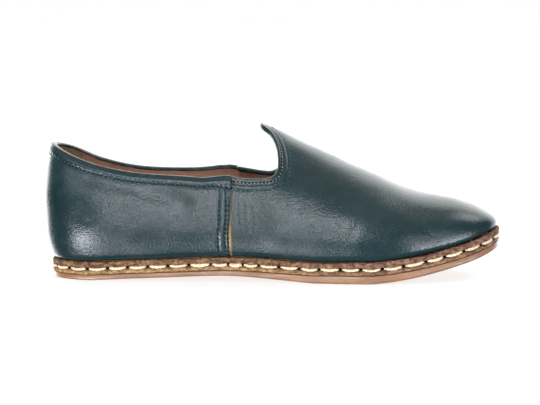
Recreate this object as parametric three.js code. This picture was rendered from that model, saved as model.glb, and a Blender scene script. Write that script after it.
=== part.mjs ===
// A left slip-on loafer: a leather upper on a hand-stitched sole of three layers.
// Millimetres, +Z up, toe towards +X, medial side towards -Y. It stands on its heel and forefoot.
import * as THREE from "three";

// Driving dimensions of the last, the shape that the leather is pulled over
const UPPER_LENGTH = 259.8; // heel bulge to toe
const HEEL_ROUND = 42; // length of the round heel end, in plan
const TOE_ROUND = 56; // length of the round toe end, in plan
const TOE_DROP = 25.5; // length over which the spine falls to the toe
const END_FULLNESS = 2.5; // exponent of the round ends, 2 for an ellipse
const HEEL_LEAN = 5; // how far the back leans forward at HEEL_TOP
const HEEL_LEAN_FROM = 43; // height where it starts to lean
const HEEL_TOP = 76;
const HEEL_LEAN_REACH = 70; // length over which that lean fades out

// Leather and sole thicknesses
const GAP = 0.3; // clearance between pieces that touch
const WALL = 2.2; // vamp leather with its lining
const EDGE_THINNING = 0.8; // how much thinner that is at the collar and throat edge
const THINNING_REACH = [3, 14]; // distances below the edge over which it comes back to WALL
const QUARTER_PROUD = 0.9; // quarter's face above the vamp's face
const QUARTER_THICK = 1.1;
const BAND_PROUD = 0.9; // how far the padded collar band swells out over the quarter's face
const BAND_TOP_PROUD = 0.25; // how far it still stands out at the collar edge
const BAND_RISE = 1; // height of its fold above the collar edge
const BAND_HEIGHT = 4.8; // from the collar edge down to the band's stitched edge
const BAND_FLARE = 1.5; // extra height over its last stretch, up to the side seam
const BAND_FLARE_FROM = 0.86; // place round the shoe where it starts, the seam being 1
const BAND_HEEL = 0.9; // extra height round the heel
const BAND_HEEL_REACH = 0.4; // place where that has gone
const BAND_INSIDE = 1.2; // how far the band reaches down inside
const BAND_LEATHER = 0.6; // its leather on the inside
const BAND_SET_BACK = 0.01; // how far its ends stop short of the side seams, as a place
const BINDING = 0.5; // leather of the throat binding
const BINDING_RISE = 0.9; // height of its fold above the throat edge
const BINDING_HEIGHT = 1.9; // how far it reaches down, outside and inside
const BINDING_HEM = 0.3; // its leather at the lower edges, pared thin
const BINDING_SET_BACK = 0.006; // how far its ends stop short of the side seams, as a place
const WELT_WIDTH = 3.4;
const WELT_HEIGHT = 4.3;
const MIDSOLE = 2.6;
const INSOLE = 2.2;
const GROOVE = 0.9; // chamfers that make the stitched groove of the sole's edge

// Where the quarter's front edge meets the vamp: the side seam
const SEAM_FOOT_X = 109.4; // medial side, at the widest line
const SEAM_TOP_X = 110.6; // medial side, at the collar edge
const LATERAL_SEAM_AHEAD = 0.3; // how much further forward the lateral seam is

// Middle of the shoe's footprint, measured from the heel bulge and the last's centre line
const ORIGIN = new THREE.Vector3(130.22, 0.71, 0);

// Sections of the last. top: spine height, above the collar a shape that is cut away.
// centre, breadth: middle and half breadth of the widest line before the ends are rounded.
// ridge: how far out the spine lies. roundness: exponent of the section up to the spine.
const LAST = splines(["x", "top", "centre", "breadth", "ridge", "roundness"], [
  [0, 98, 0, 30.4, 0, 1.55],
  [34, 94, 0.7, 31.2, 0, 1.55],
  [60, 92.6, 1.6, 33.6, 0, 1.55],
  [90, 92.2, 2.4, 35.8, 0, 1.55],
  [112, 89.6, 2.6, 38.0, -0.2, 1.55],
  [126, 86.8, 2.5, 39.8, -0.5, 1.55],
  [133, 84.7, 2.4, 40.8, -0.8, 1.55],
  [141, 80.9, 2.4, 41.7, -1.1, 1.57],
  [152, 75.8, 2.1, 42.9, -1.7, 1.6],
  [166, 69.1, 1.5, 44.2, -2.4, 1.64],
  [180, 62.9, 0.5, 44.7, -3.1, 1.7],
  [194, 56.8, -0.4, 43.6, -3.7, 1.77],
  [208, 50.6, -1.2, 41.0, -4.2, 1.86],
  [220, 47.4, -1.9, 37.8, -4.6, 1.94],
  [232, 45.4, -2.8, 35.8, -5.0, 2.0],
  [244, 42.6, -4.0, 35.0, -5.5, 2.05],
  [262, 39.4, -6.2, 35.6, -6.2, 2.1],
]);

// The lower wall. rise: widest line above the welt. dip: how far the wall draws in below it.
// overhang: how far the widest line stands out over the welt's edge.
const WALLS = splines(["x", "rise", "dip", "overhang"], [
  [0, 27, 4.6, 3.8],
  [34, 20, 3.2, 3.2],
  [70, 16.5, 2.7, 3.1],
  [126, 14, 2.4, 2.6],
  [180, 11.5, 1.9, 1.8],
  [212, 9.2, 1.3, 0.8],
  [240, 6.2, 0.9, -0.8],
  [262, 2.4, 0.8, -1.6],
]);

// The sole's lengthwise curve. Below zero it is cut flat, at the heel and the forefoot.
const SOLE = splines(["x", "bottom", "outsole"], [
  [0, -1.0, 3.0],
  [16, -0.6, 3.0],
  [30, 0.1, 3.0],
  [44, 0.9, 3.0],
  [75, 2.2, 3.0],
  [108, 3.3, 3.1],
  [134, 1.8, 3.7],
  [157, -0.1, 4.4],
  [178, -0.6, 4.7],
  [198, 1.0, 4.6],
  [217, 4.2, 4.3],
  [235, 8.7, 3.9],
  [250, 13.3, 3.6],
  [264, 18.9, 3.4],
]);

// The collar and throat edge seen from the side, from the back of the heel to the tongue's tip:
// x, then its height on the medial and on the lateral side
const COLLAR = [
  [14, 72.0, 72.9],
  [30, 66.0, 65.3],
  [52, 61.3, 59.9],
  [84, 58.9, 58.4],
  [94, 58.2, 59.0],
  [100, 58.8, 59.7],
  [106, 59.2, 59.5],
  [110, 58.9, 58.9],
  [116, 58.0, 57.9],
  [125, 57.8, 56.4],
  [130.5, 58.3, 56.3],
  [134.0, 59.9, 58.2],
  [135.8, 62.8, 61.4],
  [136.2, 69.0, 68.8],
  [135.0, 75.8, 75.8],
  [131.6, 82.2, 82.2],
];
const HEEL_EDGE_Z = 76.2;
const TONGUE_X = 125.4;

// Mesh fineness, per side of the shoe
const QUARTER_RIBS = 17;
const VAMP_RIBS = 23;
const OUTER_ROWS = 11;
const INNER_ROWS = 7;
const EDGE_ROW = 6.2; // the last row before the collar edge lies this far below it

// A natural cubic spline through the points (xs, ys).
function spline(xs, ys) {
  const n = xs.length;
  const bend = new Array(n).fill(0);
  const carried = new Array(n).fill(0);
  for (let i = 1; i < n - 1; i++) {
    const before = xs[i] - xs[i - 1];
    const after = xs[i + 1] - xs[i];
    const turn = (ys[i + 1] - ys[i]) / after - (ys[i] - ys[i - 1]) / before;
    const pivot = 2 * (before + after) - before * carried[i - 1];
    carried[i] = after / pivot;
    bend[i] = (6 * turn - before * bend[i - 1]) / pivot;
  }
  for (let i = n - 2; i > 0; i--) bend[i] -= carried[i] * bend[i + 1];
  return (x) => {
    let i = 0;
    while (i < n - 2 && x > xs[i + 1]) i++;
    const span = xs[i + 1] - xs[i];
    const a = (xs[i + 1] - x) / span;
    const b = (x - xs[i]) / span;
    const cubic = (a ** 3 - a) * bend[i] + (b ** 3 - b) * bend[i + 1];
    return a * ys[i] + b * ys[i + 1] + (cubic * span * span) / 6;
  };
}

// A table of sections as one spline of x for each named column.
function splines(columns, rows) {
  const xs = rows.map((row) => row[0]);
  const made = {};
  columns.slice(1).forEach((name, i) => {
    made[name] = spline(xs, rows.map((row) => row[i + 1]));
  });
  return made;
}

function clamp(value, low = 0, high = 1) {
  return Math.min(high, Math.max(low, value));
}

// Heights along the sole
const bottomZ = (x) => Math.max(0, SOLE.bottom(x));
const outsoleTopZ = (x) => bottomZ(x) + SOLE.outsole(x);
const midsoleTopZ = (x) => outsoleTopZ(x) + GAP + MIDSOLE;
const weltTopZ = (x) => midsoleTopZ(x) + GAP + WELT_HEIGHT;
const widestZ = (x) => weltTopZ(x) + WALLS.rise(x);

// The spine of the last, which falls to the widest line at the toe.
function topZ(x) {
  const into = clamp((x - UPPER_LENGTH + TOE_DROP) / TOE_DROP);
  return widestZ(x) + (LAST.top(x) - widestZ(x)) * Math.sqrt(1 - into ** 2.4);
}

// Half breadth of the widest line, rounded off at the heel and the toe.
function halfBreadth(x) {
  const heel = clamp((HEEL_ROUND - x) / HEEL_ROUND);
  const toe = clamp((x - UPPER_LENGTH + TOE_ROUND) / TOE_ROUND);
  const rounded = (1 - heel ** END_FULLNESS) * (1 - toe ** END_FULLNESS);
  return LAST.breadth(x) * Math.sqrt(rounded);
}

// How far the back of the heel has leaned forward at this height.
function heelLean(z) {
  const up = Math.max(0, z - HEEL_LEAN_FROM) / (HEEL_TOP - HEEL_LEAN_FROM);
  return HEEL_LEAN * up * up;
}

// The section of the last at x and z, above the widest line: its half breadth and middle.
function section(x, z) {
  const fade = 1 - THREE.MathUtils.smoothstep(x, 0, HEEL_LEAN_REACH);
  const up = clamp((z - widestZ(x)) / Math.max(1e-6, topZ(x) - widestZ(x)));
  const breadth = halfBreadth(x - heelLean(z) * fade);
  const share = THREE.MathUtils.smoothstep(up, 0, 1);
  const middle = THREE.MathUtils.lerp(LAST.centre(x), LAST.ridge(x), share);
  return { half: breadth * Math.sqrt(1 - up ** LAST.roundness(x)), middle };
}

// Whether a point above the widest line lies inside the last.
function insideLast(p) {
  if (p.x <= 0 || p.x >= UPPER_LENGTH || p.z > topZ(p.x)) return false;
  const { half, middle } = section(p.x, p.z);
  return Math.abs(p.y - middle) < half;
}

// Points along a polyline by share of its length, as a function of 0 to 1.
function byLength(points) {
  const lengths = [0];
  points.slice(1).forEach((p, i) => lengths.push(lengths[i] + p.distanceTo(points[i])));
  const total = lengths.at(-1);
  return (share) => {
    const wanted = clamp(share) * total;
    let i = 1;
    while (i < lengths.length - 1 && lengths[i] < wanted) i++;
    const within = (wanted - lengths[i - 1]) / (lengths[i] - lengths[i - 1]);
    return points[i - 1].clone().lerp(points[i], within);
  };
}

// The widest line of one side, from the heel to the toe.
function widestLine(side) {
  const points = [];
  for (let i = 0; i <= 800; i++) {
    const x = (UPPER_LENGTH * (1 - Math.cos((Math.PI * i) / 800))) / 2;
    points.push(new THREE.Vector3(x, LAST.centre(x) + side * halfBreadth(x), widestZ(x)));
  }
  return points;
}

// The collar and throat edge of one side, laid on to the last.
function collarLine(side) {
  const heel = [heelLean(HEEL_EDGE_Z), HEEL_EDGE_Z];
  const tongue = [TONGUE_X, topZ(TONGUE_X)];
  const between = COLLAR.map(([x, medialZ, lateralZ]) => [x, side < 0 ? medialZ : lateralZ]);
  const knots = [heel, ...between, tongue].map(([x, z]) => new THREE.Vector3(x, 0, z));
  const curve = new THREE.CatmullRomCurve3(knots, false, "centripetal");
  return curve.getPoints(800).map((p) => {
    const { half, middle } = section(p.x, p.z);
    return p.setY(middle + side * half);
  });
}

// Each side's lines, cut in two at the side seam
const SIDES = new Map(
  [-1, 1].map((side) => {
    const widest = widestLine(side);
    const collar = collarLine(side);
    const ahead = side > 0 ? LATERAL_SEAM_AHEAD : 0;
    const footCut = widest.findIndex((p) => p.x > SEAM_FOOT_X + ahead);
    const topCut = collar.findIndex((p) => p.x > SEAM_TOP_X + ahead);
    const cut = (line, at) => [byLength(line.slice(0, at + 1)), byLength(line.slice(at))];
    return [side, { foot: cut(widest, footCut), edge: cut(collar, topCut) }];
  }),
);

// A place round the shoe: u runs 0 to 1 from the heel to the side seam and 1 to 2 on to the toe
// along the medial side, then 2 to 3 and 3 to 4 back along the lateral side.
function place(u) {
  const wrapped = ((u % 4) + 4) % 4;
  const side = wrapped <= 2 ? -1 : 1;
  const along = side < 0 ? wrapped : 4 - wrapped;
  const part = along < 1 ? 0 : 1;
  const lines = SIDES.get(side);
  return { foot: lines.foot[part](along - part), edge: lines.edge[part](along - part) };
}

// The outward direction of the widest line, in plan.
function outward(u) {
  const step = 0.01;
  const run = place(u + step).foot.sub(place(u - step).foot);
  return new THREE.Vector3(run.y, -run.x, 0).normalize();
}

// A rib of the upper wall: the straight line from the widest line (t = 0) to the collar edge
// (t = 1), pushed away from the core of the last until it meets the last's surface.
function ribPoint(u, t) {
  const { foot, edge } = place(u);
  const straight = foot.clone().lerp(edge, t);
  const coreX = clamp(straight.x, HEEL_ROUND, UPPER_LENGTH - TOE_ROUND);
  const core = new THREE.Vector3(coreX, LAST.centre(coreX), widestZ(coreX) + 2);
  const reach = straight.clone().sub(core);
  let [near, far] = [0, 2];
  for (let i = 0; i < 40; i++) {
    const middle = (near + far) / 2;
    const p = core.clone().addScaledVector(reach, middle);
    if (insideLast(p)) near = middle;
    else far = middle;
  }
  return core.addScaledVector(reach, near);
}

// The outward direction of the upper wall on a rib.
function ribNormal(u, t) {
  const [du, dt] = [0.012, 0.02];
  const [low, high] = [clamp(t - dt), clamp(t + dt)];
  const along = ribPoint(u + du, t).sub(ribPoint(u - du, t));
  const up = ribPoint(u, high).sub(ribPoint(u, low));
  return along.cross(up).normalize();
}

// A point of the upper wall, at a depth below the face of the leather.
function wallPoint(u, t, depth) {
  if (t <= 0) return lowerPoint(u, 1, depth);
  return ribPoint(u, t).addScaledVector(ribNormal(u, t), -depth);
}

// How deep the wall's inner face lies at a distance below the collar edge: it thins to that edge.
function innerDepth(below) {
  return WALL - EDGE_THINNING * (1 - THREE.MathUtils.smoothstep(below, ...THINNING_REACH));
}

// How far inside the widest line the upper's foot stands, within the welt.
function footInset(x) {
  return WALLS.overhang(x) + WELT_WIDTH + GAP;
}

// A point of the wall below the widest line. level: 0 just over the welt, 1 at the widest line.
// The wall draws in gently, and rolls under just above the welt.
function lowerPoint(u, level, depth) {
  const { foot } = place(u);
  const height = WALLS.rise(foot.x) - GAP;
  const roll = Math.min(3.4, 0.7 * height) + Math.max(0, depth);
  const under = clamp(1 - (level * height) / roll);
  const dip = WALLS.dip(foot.x) * (1 - level) ** 2;
  const tuck = (footInset(foot.x) - WALLS.dip(foot.x)) * (1 - Math.sqrt(1 - under ** 2));
  const p = foot.addScaledVector(outward(u), -(depth + dip + tuck));
  return p.setZ(foot.z - (1 - level) * height);
}

// A point of the upper's foot, which stands on the midsole within the welt.
function footPoint(u, depth) {
  const p = lowerPoint(u, 0, depth);
  return p.setZ(midsoleTopZ(p.x) + GAP);
}

// A point of the sole's edge, inset from the welt's outer edge, at the height that zOf gives.
function solePoint(u, inset, zOf) {
  const { foot } = place(u);
  const p = foot.clone().addScaledVector(outward(u), -(WALLS.overhang(foot.x) + inset));
  return p.setZ(zOf(clamp(p.x, 4, UPPER_LENGTH + 1.2)));
}

// Places round the shoe, one for each rib, from place "from" to place "to".
function places(from, to) {
  const ribs = [QUARTER_RIBS, VAMP_RIBS, VAMP_RIBS, QUARTER_RIBS];
  const made = [];
  for (let quarter = from; quarter < to; quarter++) {
    const count = ribs[((quarter % 4) + 4) % 4];
    for (let i = 0; i < count; i++) made.push(quarter + i / count);
  }
  return [...made, to];
}

// Builds a closed mesh from a list of loops of points, each loop one cross-section. Round meshes
// join the last loop to the first; others get an end on the first and last loop, where loops run
// along one face and back along the other.
function meshOf(loops, round) {
  const size = loops[0].length;
  const positions = loops.flat().flatMap((p) => [p.x, p.y, p.z]);
  const faces = [];
  const quad = (a, b, c, d) => faces.push(a, b, c, a, c, d);
  const count = round ? loops.length : loops.length - 1;
  for (let i = 0; i < count; i++) {
    const next = ((i + 1) % loops.length) * size;
    for (let j = 0; j < size; j++) {
      const up = (j + 1) % size;
      quad(i * size + j, next + j, next + up, i * size + up);
    }
  }
  if (!round) {
    const last = (loops.length - 1) * size;
    for (let j = 0; j < size / 2 - 1; j++) {
      const across = size - 1 - j;
      quad(j, j + 1, across - 1, across);
      quad(last + across, last + across - 1, last + j + 1, last + j);
    }
  }
  return solidGeometry(positions, faces);
}

// A slab from closed rings of points, lowest first, with its first and last ring filled in by
// a ladder of quads across the shoe. Rings start at the heel and pass the toe halfway round.
function slabOf(rings) {
  const size = rings[0].length;
  const positions = rings.flat().flatMap((p) => [p.x, p.y, p.z]);
  const faces = [];
  for (let i = 0; i < rings.length - 1; i++) {
    for (let j = 0; j < size; j++) {
      const next = (j + 1) % size;
      const [a, b] = [i * size + j, i * size + next];
      faces.push(a, b, b + size, a, b + size, a + size);
    }
  }
  const top = (rings.length - 1) * size;
  for (let j = 0; j < size / 2; j++) {
    const across = (size - j) % size;
    const before = size - j - 1;
    if (j > 0) faces.push(j, across, j + 1, top + j, top + j + 1, top + across);
    if (j + 1 < before) faces.push(across, before, j + 1, top + across, top + j + 1, top + before);
  }
  return solidGeometry(positions, faces);
}

function solidGeometry(positions, faces) {
  const geometry = new THREE.BufferGeometry();
  geometry.setAttribute("position", new THREE.Float32BufferAttribute(positions, 3));
  geometry.setIndex(faces);
  geometry.computeVertexNormals();
  return geometry;
}

// The rows of a wall above the widest line, closer together near that line, most at the toe.
function rowShares(count, u, top = 1) {
  const power = 1.1 + 0.6 * clamp(1 - Math.abs(u - 2) / 0.8);
  return Array.from({ length: count }, (_, i) => top * ((i + 1) / count) ** power);
}

const LOWER_LEVELS = [0, 0.02, 0.08, 0.2, 0.55, 1];

// The upper: vamp and lining in one hollow wall, open at the collar, the throat and underneath.
// Behind the side seam its face is set back to make room for the quarter.
function upperGeometry() {
  const step = 0.004;
  const stops = places(0, 4).slice(0, -1);
  const seamStops = [1 + step, 3 - step];
  const all = [...stops, ...seamStops].sort((a, b) => a - b);
  const setBack = QUARTER_THICK - QUARTER_PROUD + GAP;
  const loops = all.map((u) => {
    const face = u > 1 && u < 3 ? 0 : setBack;
    const nearEdge = shareBelowEdge(u, EDGE_ROW);
    const outside = [
      footPoint(u, face),
      ...LOWER_LEVELS.map((level) => lowerPoint(u, level, face)),
      ...rowShares(OUTER_ROWS, u, nearEdge).map((t) => wallPoint(u, t, face)),
      wallPoint(u, 1, face),
    ];
    const inside = [
      innerPoint(u, 1),
      ...rowShares(INNER_ROWS, u, nearEdge).reverse().map((t) => innerPoint(u, t)),
      ...[1, 0.5, 0.16, 0].map((level) => lowerPoint(u, level, WALL)),
      footPoint(u, WALL),
    ];
    return [...outside, ...inside];
  });
  return meshOf(loops, true);
}

// Length of a rib's straight line, from the widest line to the collar edge.
function ribLength(u) {
  const { foot, edge } = place(u);
  return foot.distanceTo(edge);
}

// Share of a rib that lies a distance below the collar edge.
function shareBelowEdge(u, distance) {
  return 1 - distance / ribLength(u);
}

// A point of the wall's inner face.
function innerPoint(u, t) {
  return wallPoint(u, t, innerDepth((1 - t) * ribLength(u)));
}

// Height of the collar band, which flares up to the side seam and widens round the heel.
function bandHeight(u) {
  const flare = THREE.MathUtils.smoothstep(Math.abs(u), BAND_FLARE_FROM, 1);
  const heel = 1 - THREE.MathUtils.smoothstep(Math.abs(u), 0, BAND_HEEL_REACH);
  return BAND_HEIGHT + BAND_FLARE * flare + BAND_HEEL * heel;
}

// The quarter: one piece of leather round the heel, from side seam to side seam.
function quarterGeometry() {
  const loops = places(-1, 1).map((u) => {
    const top = shareBelowEdge(u, bandHeight(u) + GAP);
    const rows = [
      ...LOWER_LEVELS.slice(1).map((level) => [level, null]),
      ...rowShares(6, u, top).map((t) => [null, t]),
    ];
    const at = (depth) => ([level, t]) =>
      t === null ? lowerPoint(u, level, depth) : wallPoint(u, t, depth);
    const outside = rows.map(at(-QUARTER_PROUD));
    const inside = rows.map(at(QUARTER_THICK - QUARTER_PROUD)).reverse();
    return [...outside, ...inside];
  });
  return meshOf(loops, false);
}

// A strip of leather folded over an edge of the wall. outside and inside list its legs as
// [distance below the edge, depth of its outer face, depth of its inner face], and crown lists
// [rise of its top, rise of its underside, depth of its top, depth of its underside]. A distance
// may be a function of the place u.
function foldedStrip(stops, outside, inside, crown) {
  const loops = stops.map((u) => {
    const { normal, upward, edge } = edgeFrame(u);
    const at = (below, depth) => {
      const distance = typeof below === "function" ? below(u) : below;
      return wallPoint(u, shareBelowEdge(u, distance), depth);
    };
    const over = (rise, depth) =>
      edge.clone().addScaledVector(upward, rise).addScaledVector(normal, -depth);
    const outer = [
      ...outside.map(([below, face]) => at(below, face)),
      ...crown.map(([rise, , depth]) => over(rise, depth)),
      ...inside.map(([below, face]) => at(below, face)),
    ];
    const inner = [
      ...outside.map(([below, , back]) => at(below, back)),
      ...crown.map(([, rise, , depth]) => over(rise, depth)),
      ...inside.map(([below, , back]) => at(below, back)),
    ];
    return [...outer, ...inner.reverse()];
  });
  return meshOf(loops, false);
}

// The wall's own directions at the collar edge.
function edgeFrame(u) {
  const edge = ribPoint(u, 1);
  const normal = ribNormal(u, 1);
  const upward = edge.clone().sub(ribPoint(u, 0.96)).normalize();
  return { edge, normal, upward };
}

// The collar band: a padded strip folded over the quarter's top edge, fullest low down outside.
function collarBandGeometry() {
  const back = QUARTER_THICK - QUARTER_PROUD;
  const full = -QUARTER_PROUD - BAND_PROUD;
  const lining = innerDepth(0) + GAP;
  const outside = [
    [bandHeight, -QUARTER_PROUD, back],
    [(u) => bandHeight(u) * 0.75, full, back],
    [(u) => bandHeight(u) * 0.4, full, back],
    [0, -QUARTER_PROUD - BAND_TOP_PROUD, back],
  ];
  const crown = [
    [BAND_RISE, GAP, 0.1, back + 0.1],
    [BAND_RISE, GAP, lining - 0.1, lining],
  ];
  const inside = [
    [0.2, lining + BAND_LEATHER, lining],
    [BAND_INSIDE, lining + BAND_LEATHER, lining],
  ];
  const stops = places(-1, 1);
  stops[0] += BAND_SET_BACK;
  stops[stops.length - 1] -= BAND_SET_BACK;
  return foldedStrip(stops, outside, inside, crown);
}

// The throat binding: a narrow strip folded over the vamp's edge, from seam to seam.
function throatBindingGeometry() {
  const stops = places(1, 3);
  stops[0] += BINDING_SET_BACK;
  stops[stops.length - 1] -= BINDING_SET_BACK;
  const lining = innerDepth(0) + GAP;
  const outside = [
    [BINDING_HEIGHT, -GAP - BINDING_HEM, -GAP],
    [0.3, -GAP - BINDING, -GAP],
  ];
  const crown = [
    [BINDING_RISE, GAP, 0.1, 0],
    [BINDING_RISE, GAP, lining - GAP - 0.1, lining - GAP],
  ];
  const inside = [
    [0.3, lining + BINDING, lining],
    [BINDING_HEIGHT, lining + BINDING_HEM, lining],
  ];
  return foldedStrip(stops, outside, inside, crown);
}

// A closed ring of the sole's outline, inset by a distance.
function soleRing(inset, zOf) {
  return places(0, 4).slice(0, -1).map((u) => solePoint(u, inset, zOf));
}

// The outsole: flat where it meets the floor, with its lower edge rounded off.
function outsoleGeometry() {
  const share = (part) => (x) => bottomZ(x) + part * SOLE.outsole(x);
  return slabOf([
    soleRing(2.6, bottomZ),
    soleRing(0.9, share(0.2)),
    soleRing(0.2, share(0.55)),
    soleRing(0.3, outsoleTopZ),
  ]);
}

// The midsole, with a chamfer under the stitched groove.
function midsoleGeometry() {
  const lift = (height) => (x) => outsoleTopZ(x) + GAP + height;
  return slabOf([
    soleRing(0.1, lift(0)),
    soleRing(0, lift(MIDSOLE - GROOVE)),
    soleRing(GROOVE, lift(MIDSOLE)),
  ]);
}

// The welt: a ring of thick leather round the upper's foot, chamfered over the groove.
function weltGeometry() {
  const lift = (height) => (x) => midsoleTopZ(x) + GAP + height;
  const corners = [
    [WELT_WIDTH, 0],
    [GROOVE, 0],
    [0.1, GROOVE],
    [0, WELT_HEIGHT - 0.6],
    [0.5, WELT_HEIGHT],
    [WELT_WIDTH, WELT_HEIGHT],
  ];
  const loops = places(0, 4)
    .slice(0, -1)
    .map((u) => corners.map(([inset, height]) => solePoint(u, inset, lift(height))));
  return meshOf(loops, true);
}

// The insole, inside the upper's foot.
function insoleGeometry() {
  const inset = WELT_WIDTH + GAP + WALL + GAP;
  const lift = (height) => (x) => midsoleTopZ(x) + GAP + height;
  return slabOf([
    soleRing(inset, lift(0)),
    soleRing(inset, lift(INSOLE - 0.6)),
    soleRing(inset + 0.6, lift(INSOLE)),
  ]);
}

function leather(color, roughness) {
  return new THREE.MeshStandardMaterial({ color, roughness, metalness: 0 });
}

const greenLeather = leather(0x2b4147, 0.38);
const rawEdge = leather(0x6a4f38, 0.8);
const tanLeather = leather(0x9a7446, 0.75);
const paleRubber = leather(0xb98868, 0.5);
const insoleLeather = leather(0xa9824f, 0.6);

const shoe = new THREE.Group();
for (const [name, geometry, material] of [
  ["outsole", outsoleGeometry(), paleRubber],
  ["midsole", midsoleGeometry(), tanLeather],
  ["welt", weltGeometry(), rawEdge],
  ["insole", insoleGeometry(), insoleLeather],
  ["upper", upperGeometry(), greenLeather],
  ["quarter", quarterGeometry(), greenLeather],
  ["collar_band", collarBandGeometry(), greenLeather],
  ["throat_binding", throatBindingGeometry(), greenLeather],
]) {
  const mesh = new THREE.Mesh(geometry, material);
  mesh.name = name;
  shoe.add(mesh);
}
shoe.position.copy(ORIGIN).negate();

export default shoe;
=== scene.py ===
"""A left slip-on loafer of dark green leather, hand-stitched round its sole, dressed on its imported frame.

Shapes are worked out in shoe millimetres: x forward from the heel bulge, y towards the lateral side,
z up from the floor. They go into the frame, in metres, when a piece is made.
"""
import math

import bpy
import numpy as np
from mathutils import Matrix, Vector


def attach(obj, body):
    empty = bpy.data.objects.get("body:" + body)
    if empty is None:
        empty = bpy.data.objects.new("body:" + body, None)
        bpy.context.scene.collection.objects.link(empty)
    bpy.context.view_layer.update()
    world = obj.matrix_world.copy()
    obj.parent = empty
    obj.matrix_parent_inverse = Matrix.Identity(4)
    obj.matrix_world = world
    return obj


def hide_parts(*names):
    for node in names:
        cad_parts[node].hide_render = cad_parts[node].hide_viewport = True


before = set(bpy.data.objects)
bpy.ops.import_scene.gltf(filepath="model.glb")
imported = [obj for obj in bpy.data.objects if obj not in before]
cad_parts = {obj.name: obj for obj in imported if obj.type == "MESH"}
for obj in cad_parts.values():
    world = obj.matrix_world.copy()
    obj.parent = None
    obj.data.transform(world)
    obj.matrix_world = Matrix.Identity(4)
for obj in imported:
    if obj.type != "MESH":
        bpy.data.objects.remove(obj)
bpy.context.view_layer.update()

MM = 0.001
ORIGIN = np.array([130.22, 0.71, 0.0])  # middle of the footprint, from the heel bulge

# The last and its lines, the same shape that the frame's solids have

UPPER_LENGTH = 259.8
HEEL_ROUND = 42  # length over which the heel's outline rounds off
TOE_ROUND = 56
END_FULLNESS = 2.5  # power of both ends' rounding
TOE_DROP = 25.5  # length over which the spine falls to the widest line
DROP_FULLNESS = 2.4
HEEL_LEAN = 5  # how far the back has leaned forward at HEEL_TOP
HEEL_LEAN_FROM = 43
HEEL_TOP = 76
HEEL_LEAN_REACH = 70  # x where the lean has faded
CORE_RISE = 2  # height of the last's core above its widest line
HALVINGS = 26
RIPPLE_PEAK = 1.4  # what brings the noise to between about -1 and 1
ROLL_UNDER = 3.4  # radius of the wall's roll above the welt
ROLL_SHARE = 0.7  # the most of the lower wall's height that the roll takes

GAP = 0.3  # clearance between pieces that touch
WALL = 2.2  # vamp leather with its lining
EDGE_THINNING = 0.8  # how much thinner the wall is at the collar edge
THINNING_REACH = (3, 14)  # distances below the edge over which it comes back to WALL
QUARTER_PROUD = 0.9  # how far the quarter's face stands out over the vamp's
QUARTER_THICK = 1.1
BAND_PROUD = 0.9  # how far the padded collar band swells out over the quarter's face
BAND_TOP_PROUD = 0.25  # how far it still stands out at the collar edge
BAND_RISE = 1  # height of its fold above the collar edge
BAND_HEIGHT = 4.8
BAND_FLARE = 1.5  # extra height over its last stretch, up to the side seam
BAND_FLARE_FROM = 0.86  # place round the shoe where that starts, the seam being 1
BAND_HEEL = 0.9  # extra height round the heel
BAND_HEEL_REACH = 0.4  # place where that has gone
BAND_INSIDE = 0.6  # how far the band reaches down inside
BAND_LEATHER = 0.6
BAND_SET_BACK = 0.01  # how far its ends stay behind the seams
BINDING = 0.5
BINDING_RISE = 0.9
BINDING_HEIGHT = 1.9
BINDING_REACH = 0.0088  # how far the binding runs on behind the seam, to meet the band
WELT_WIDTH = 3.4
WELT_HEIGHT = 4.3
MIDSOLE = 2.6
INSOLE = 2.2
SOLE_ENDS = (4, UPPER_LENGTH + 1.2)  # x between which the sole's heights are read

SEAM_FOOT_X = 109.4
SEAM_TOP_X = 110.6
LATERAL_SEAM_AHEAD = 0.3
HEEL_EDGE_Z = 76.2
TONGUE_X = 125.4

# x, spine height, middle and half breadth of the widest line, spine's y, roundness
LAST = [
    [0, 98, 0, 30.4, 0, 1.55],
    [34, 94, 0.7, 31.2, 0, 1.55],
    [60, 92.6, 1.6, 33.6, 0, 1.55],
    [90, 92.2, 2.4, 35.8, 0, 1.55],
    [112, 89.6, 2.6, 38.0, -0.2, 1.55],
    [126, 86.8, 2.5, 39.8, -0.5, 1.55],
    [133, 84.7, 2.4, 40.8, -0.8, 1.55],
    [141, 80.9, 2.4, 41.7, -1.1, 1.57],
    [152, 75.8, 2.1, 42.9, -1.7, 1.6],
    [166, 69.1, 1.5, 44.2, -2.4, 1.64],
    [180, 62.9, 0.5, 44.7, -3.1, 1.7],
    [194, 56.8, -0.4, 43.6, -3.7, 1.77],
    [208, 50.6, -1.2, 41.0, -4.2, 1.86],
    [220, 47.4, -1.9, 37.8, -4.6, 1.94],
    [232, 45.4, -2.8, 35.8, -5.0, 2.0],
    [244, 42.6, -4.0, 35.0, -5.5, 2.05],
    [262, 39.4, -6.2, 35.6, -6.2, 2.1],
]
# x, widest line above the welt, how far the wall draws in below it, its overhang past the welt
WALLS = [
    [0, 27, 4.6, 3.8],
    [34, 20, 3.2, 3.2],
    [70, 16.5, 2.7, 3.1],
    [126, 14, 2.4, 2.6],
    [180, 11.5, 1.9, 1.8],
    [212, 9.2, 1.3, 0.8],
    [240, 6.2, 0.9, -0.8],
    [262, 2.4, 0.8, -1.6],
]
# x, height of the sole's underside before it is cut flat, thickness of the outsole
SOLE = [
    [0, -1.0, 3.0],
    [16, -0.6, 3.0],
    [30, 0.1, 3.0],
    [44, 0.9, 3.0],
    [75, 2.2, 3.0],
    [108, 3.3, 3.1],
    [134, 1.8, 3.7],
    [157, -0.1, 4.4],
    [178, -0.6, 4.7],
    [198, 1.0, 4.6],
    [217, 4.2, 4.3],
    [235, 8.7, 3.9],
    [250, 13.3, 3.6],
    [264, 18.9, 3.4],
]
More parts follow.
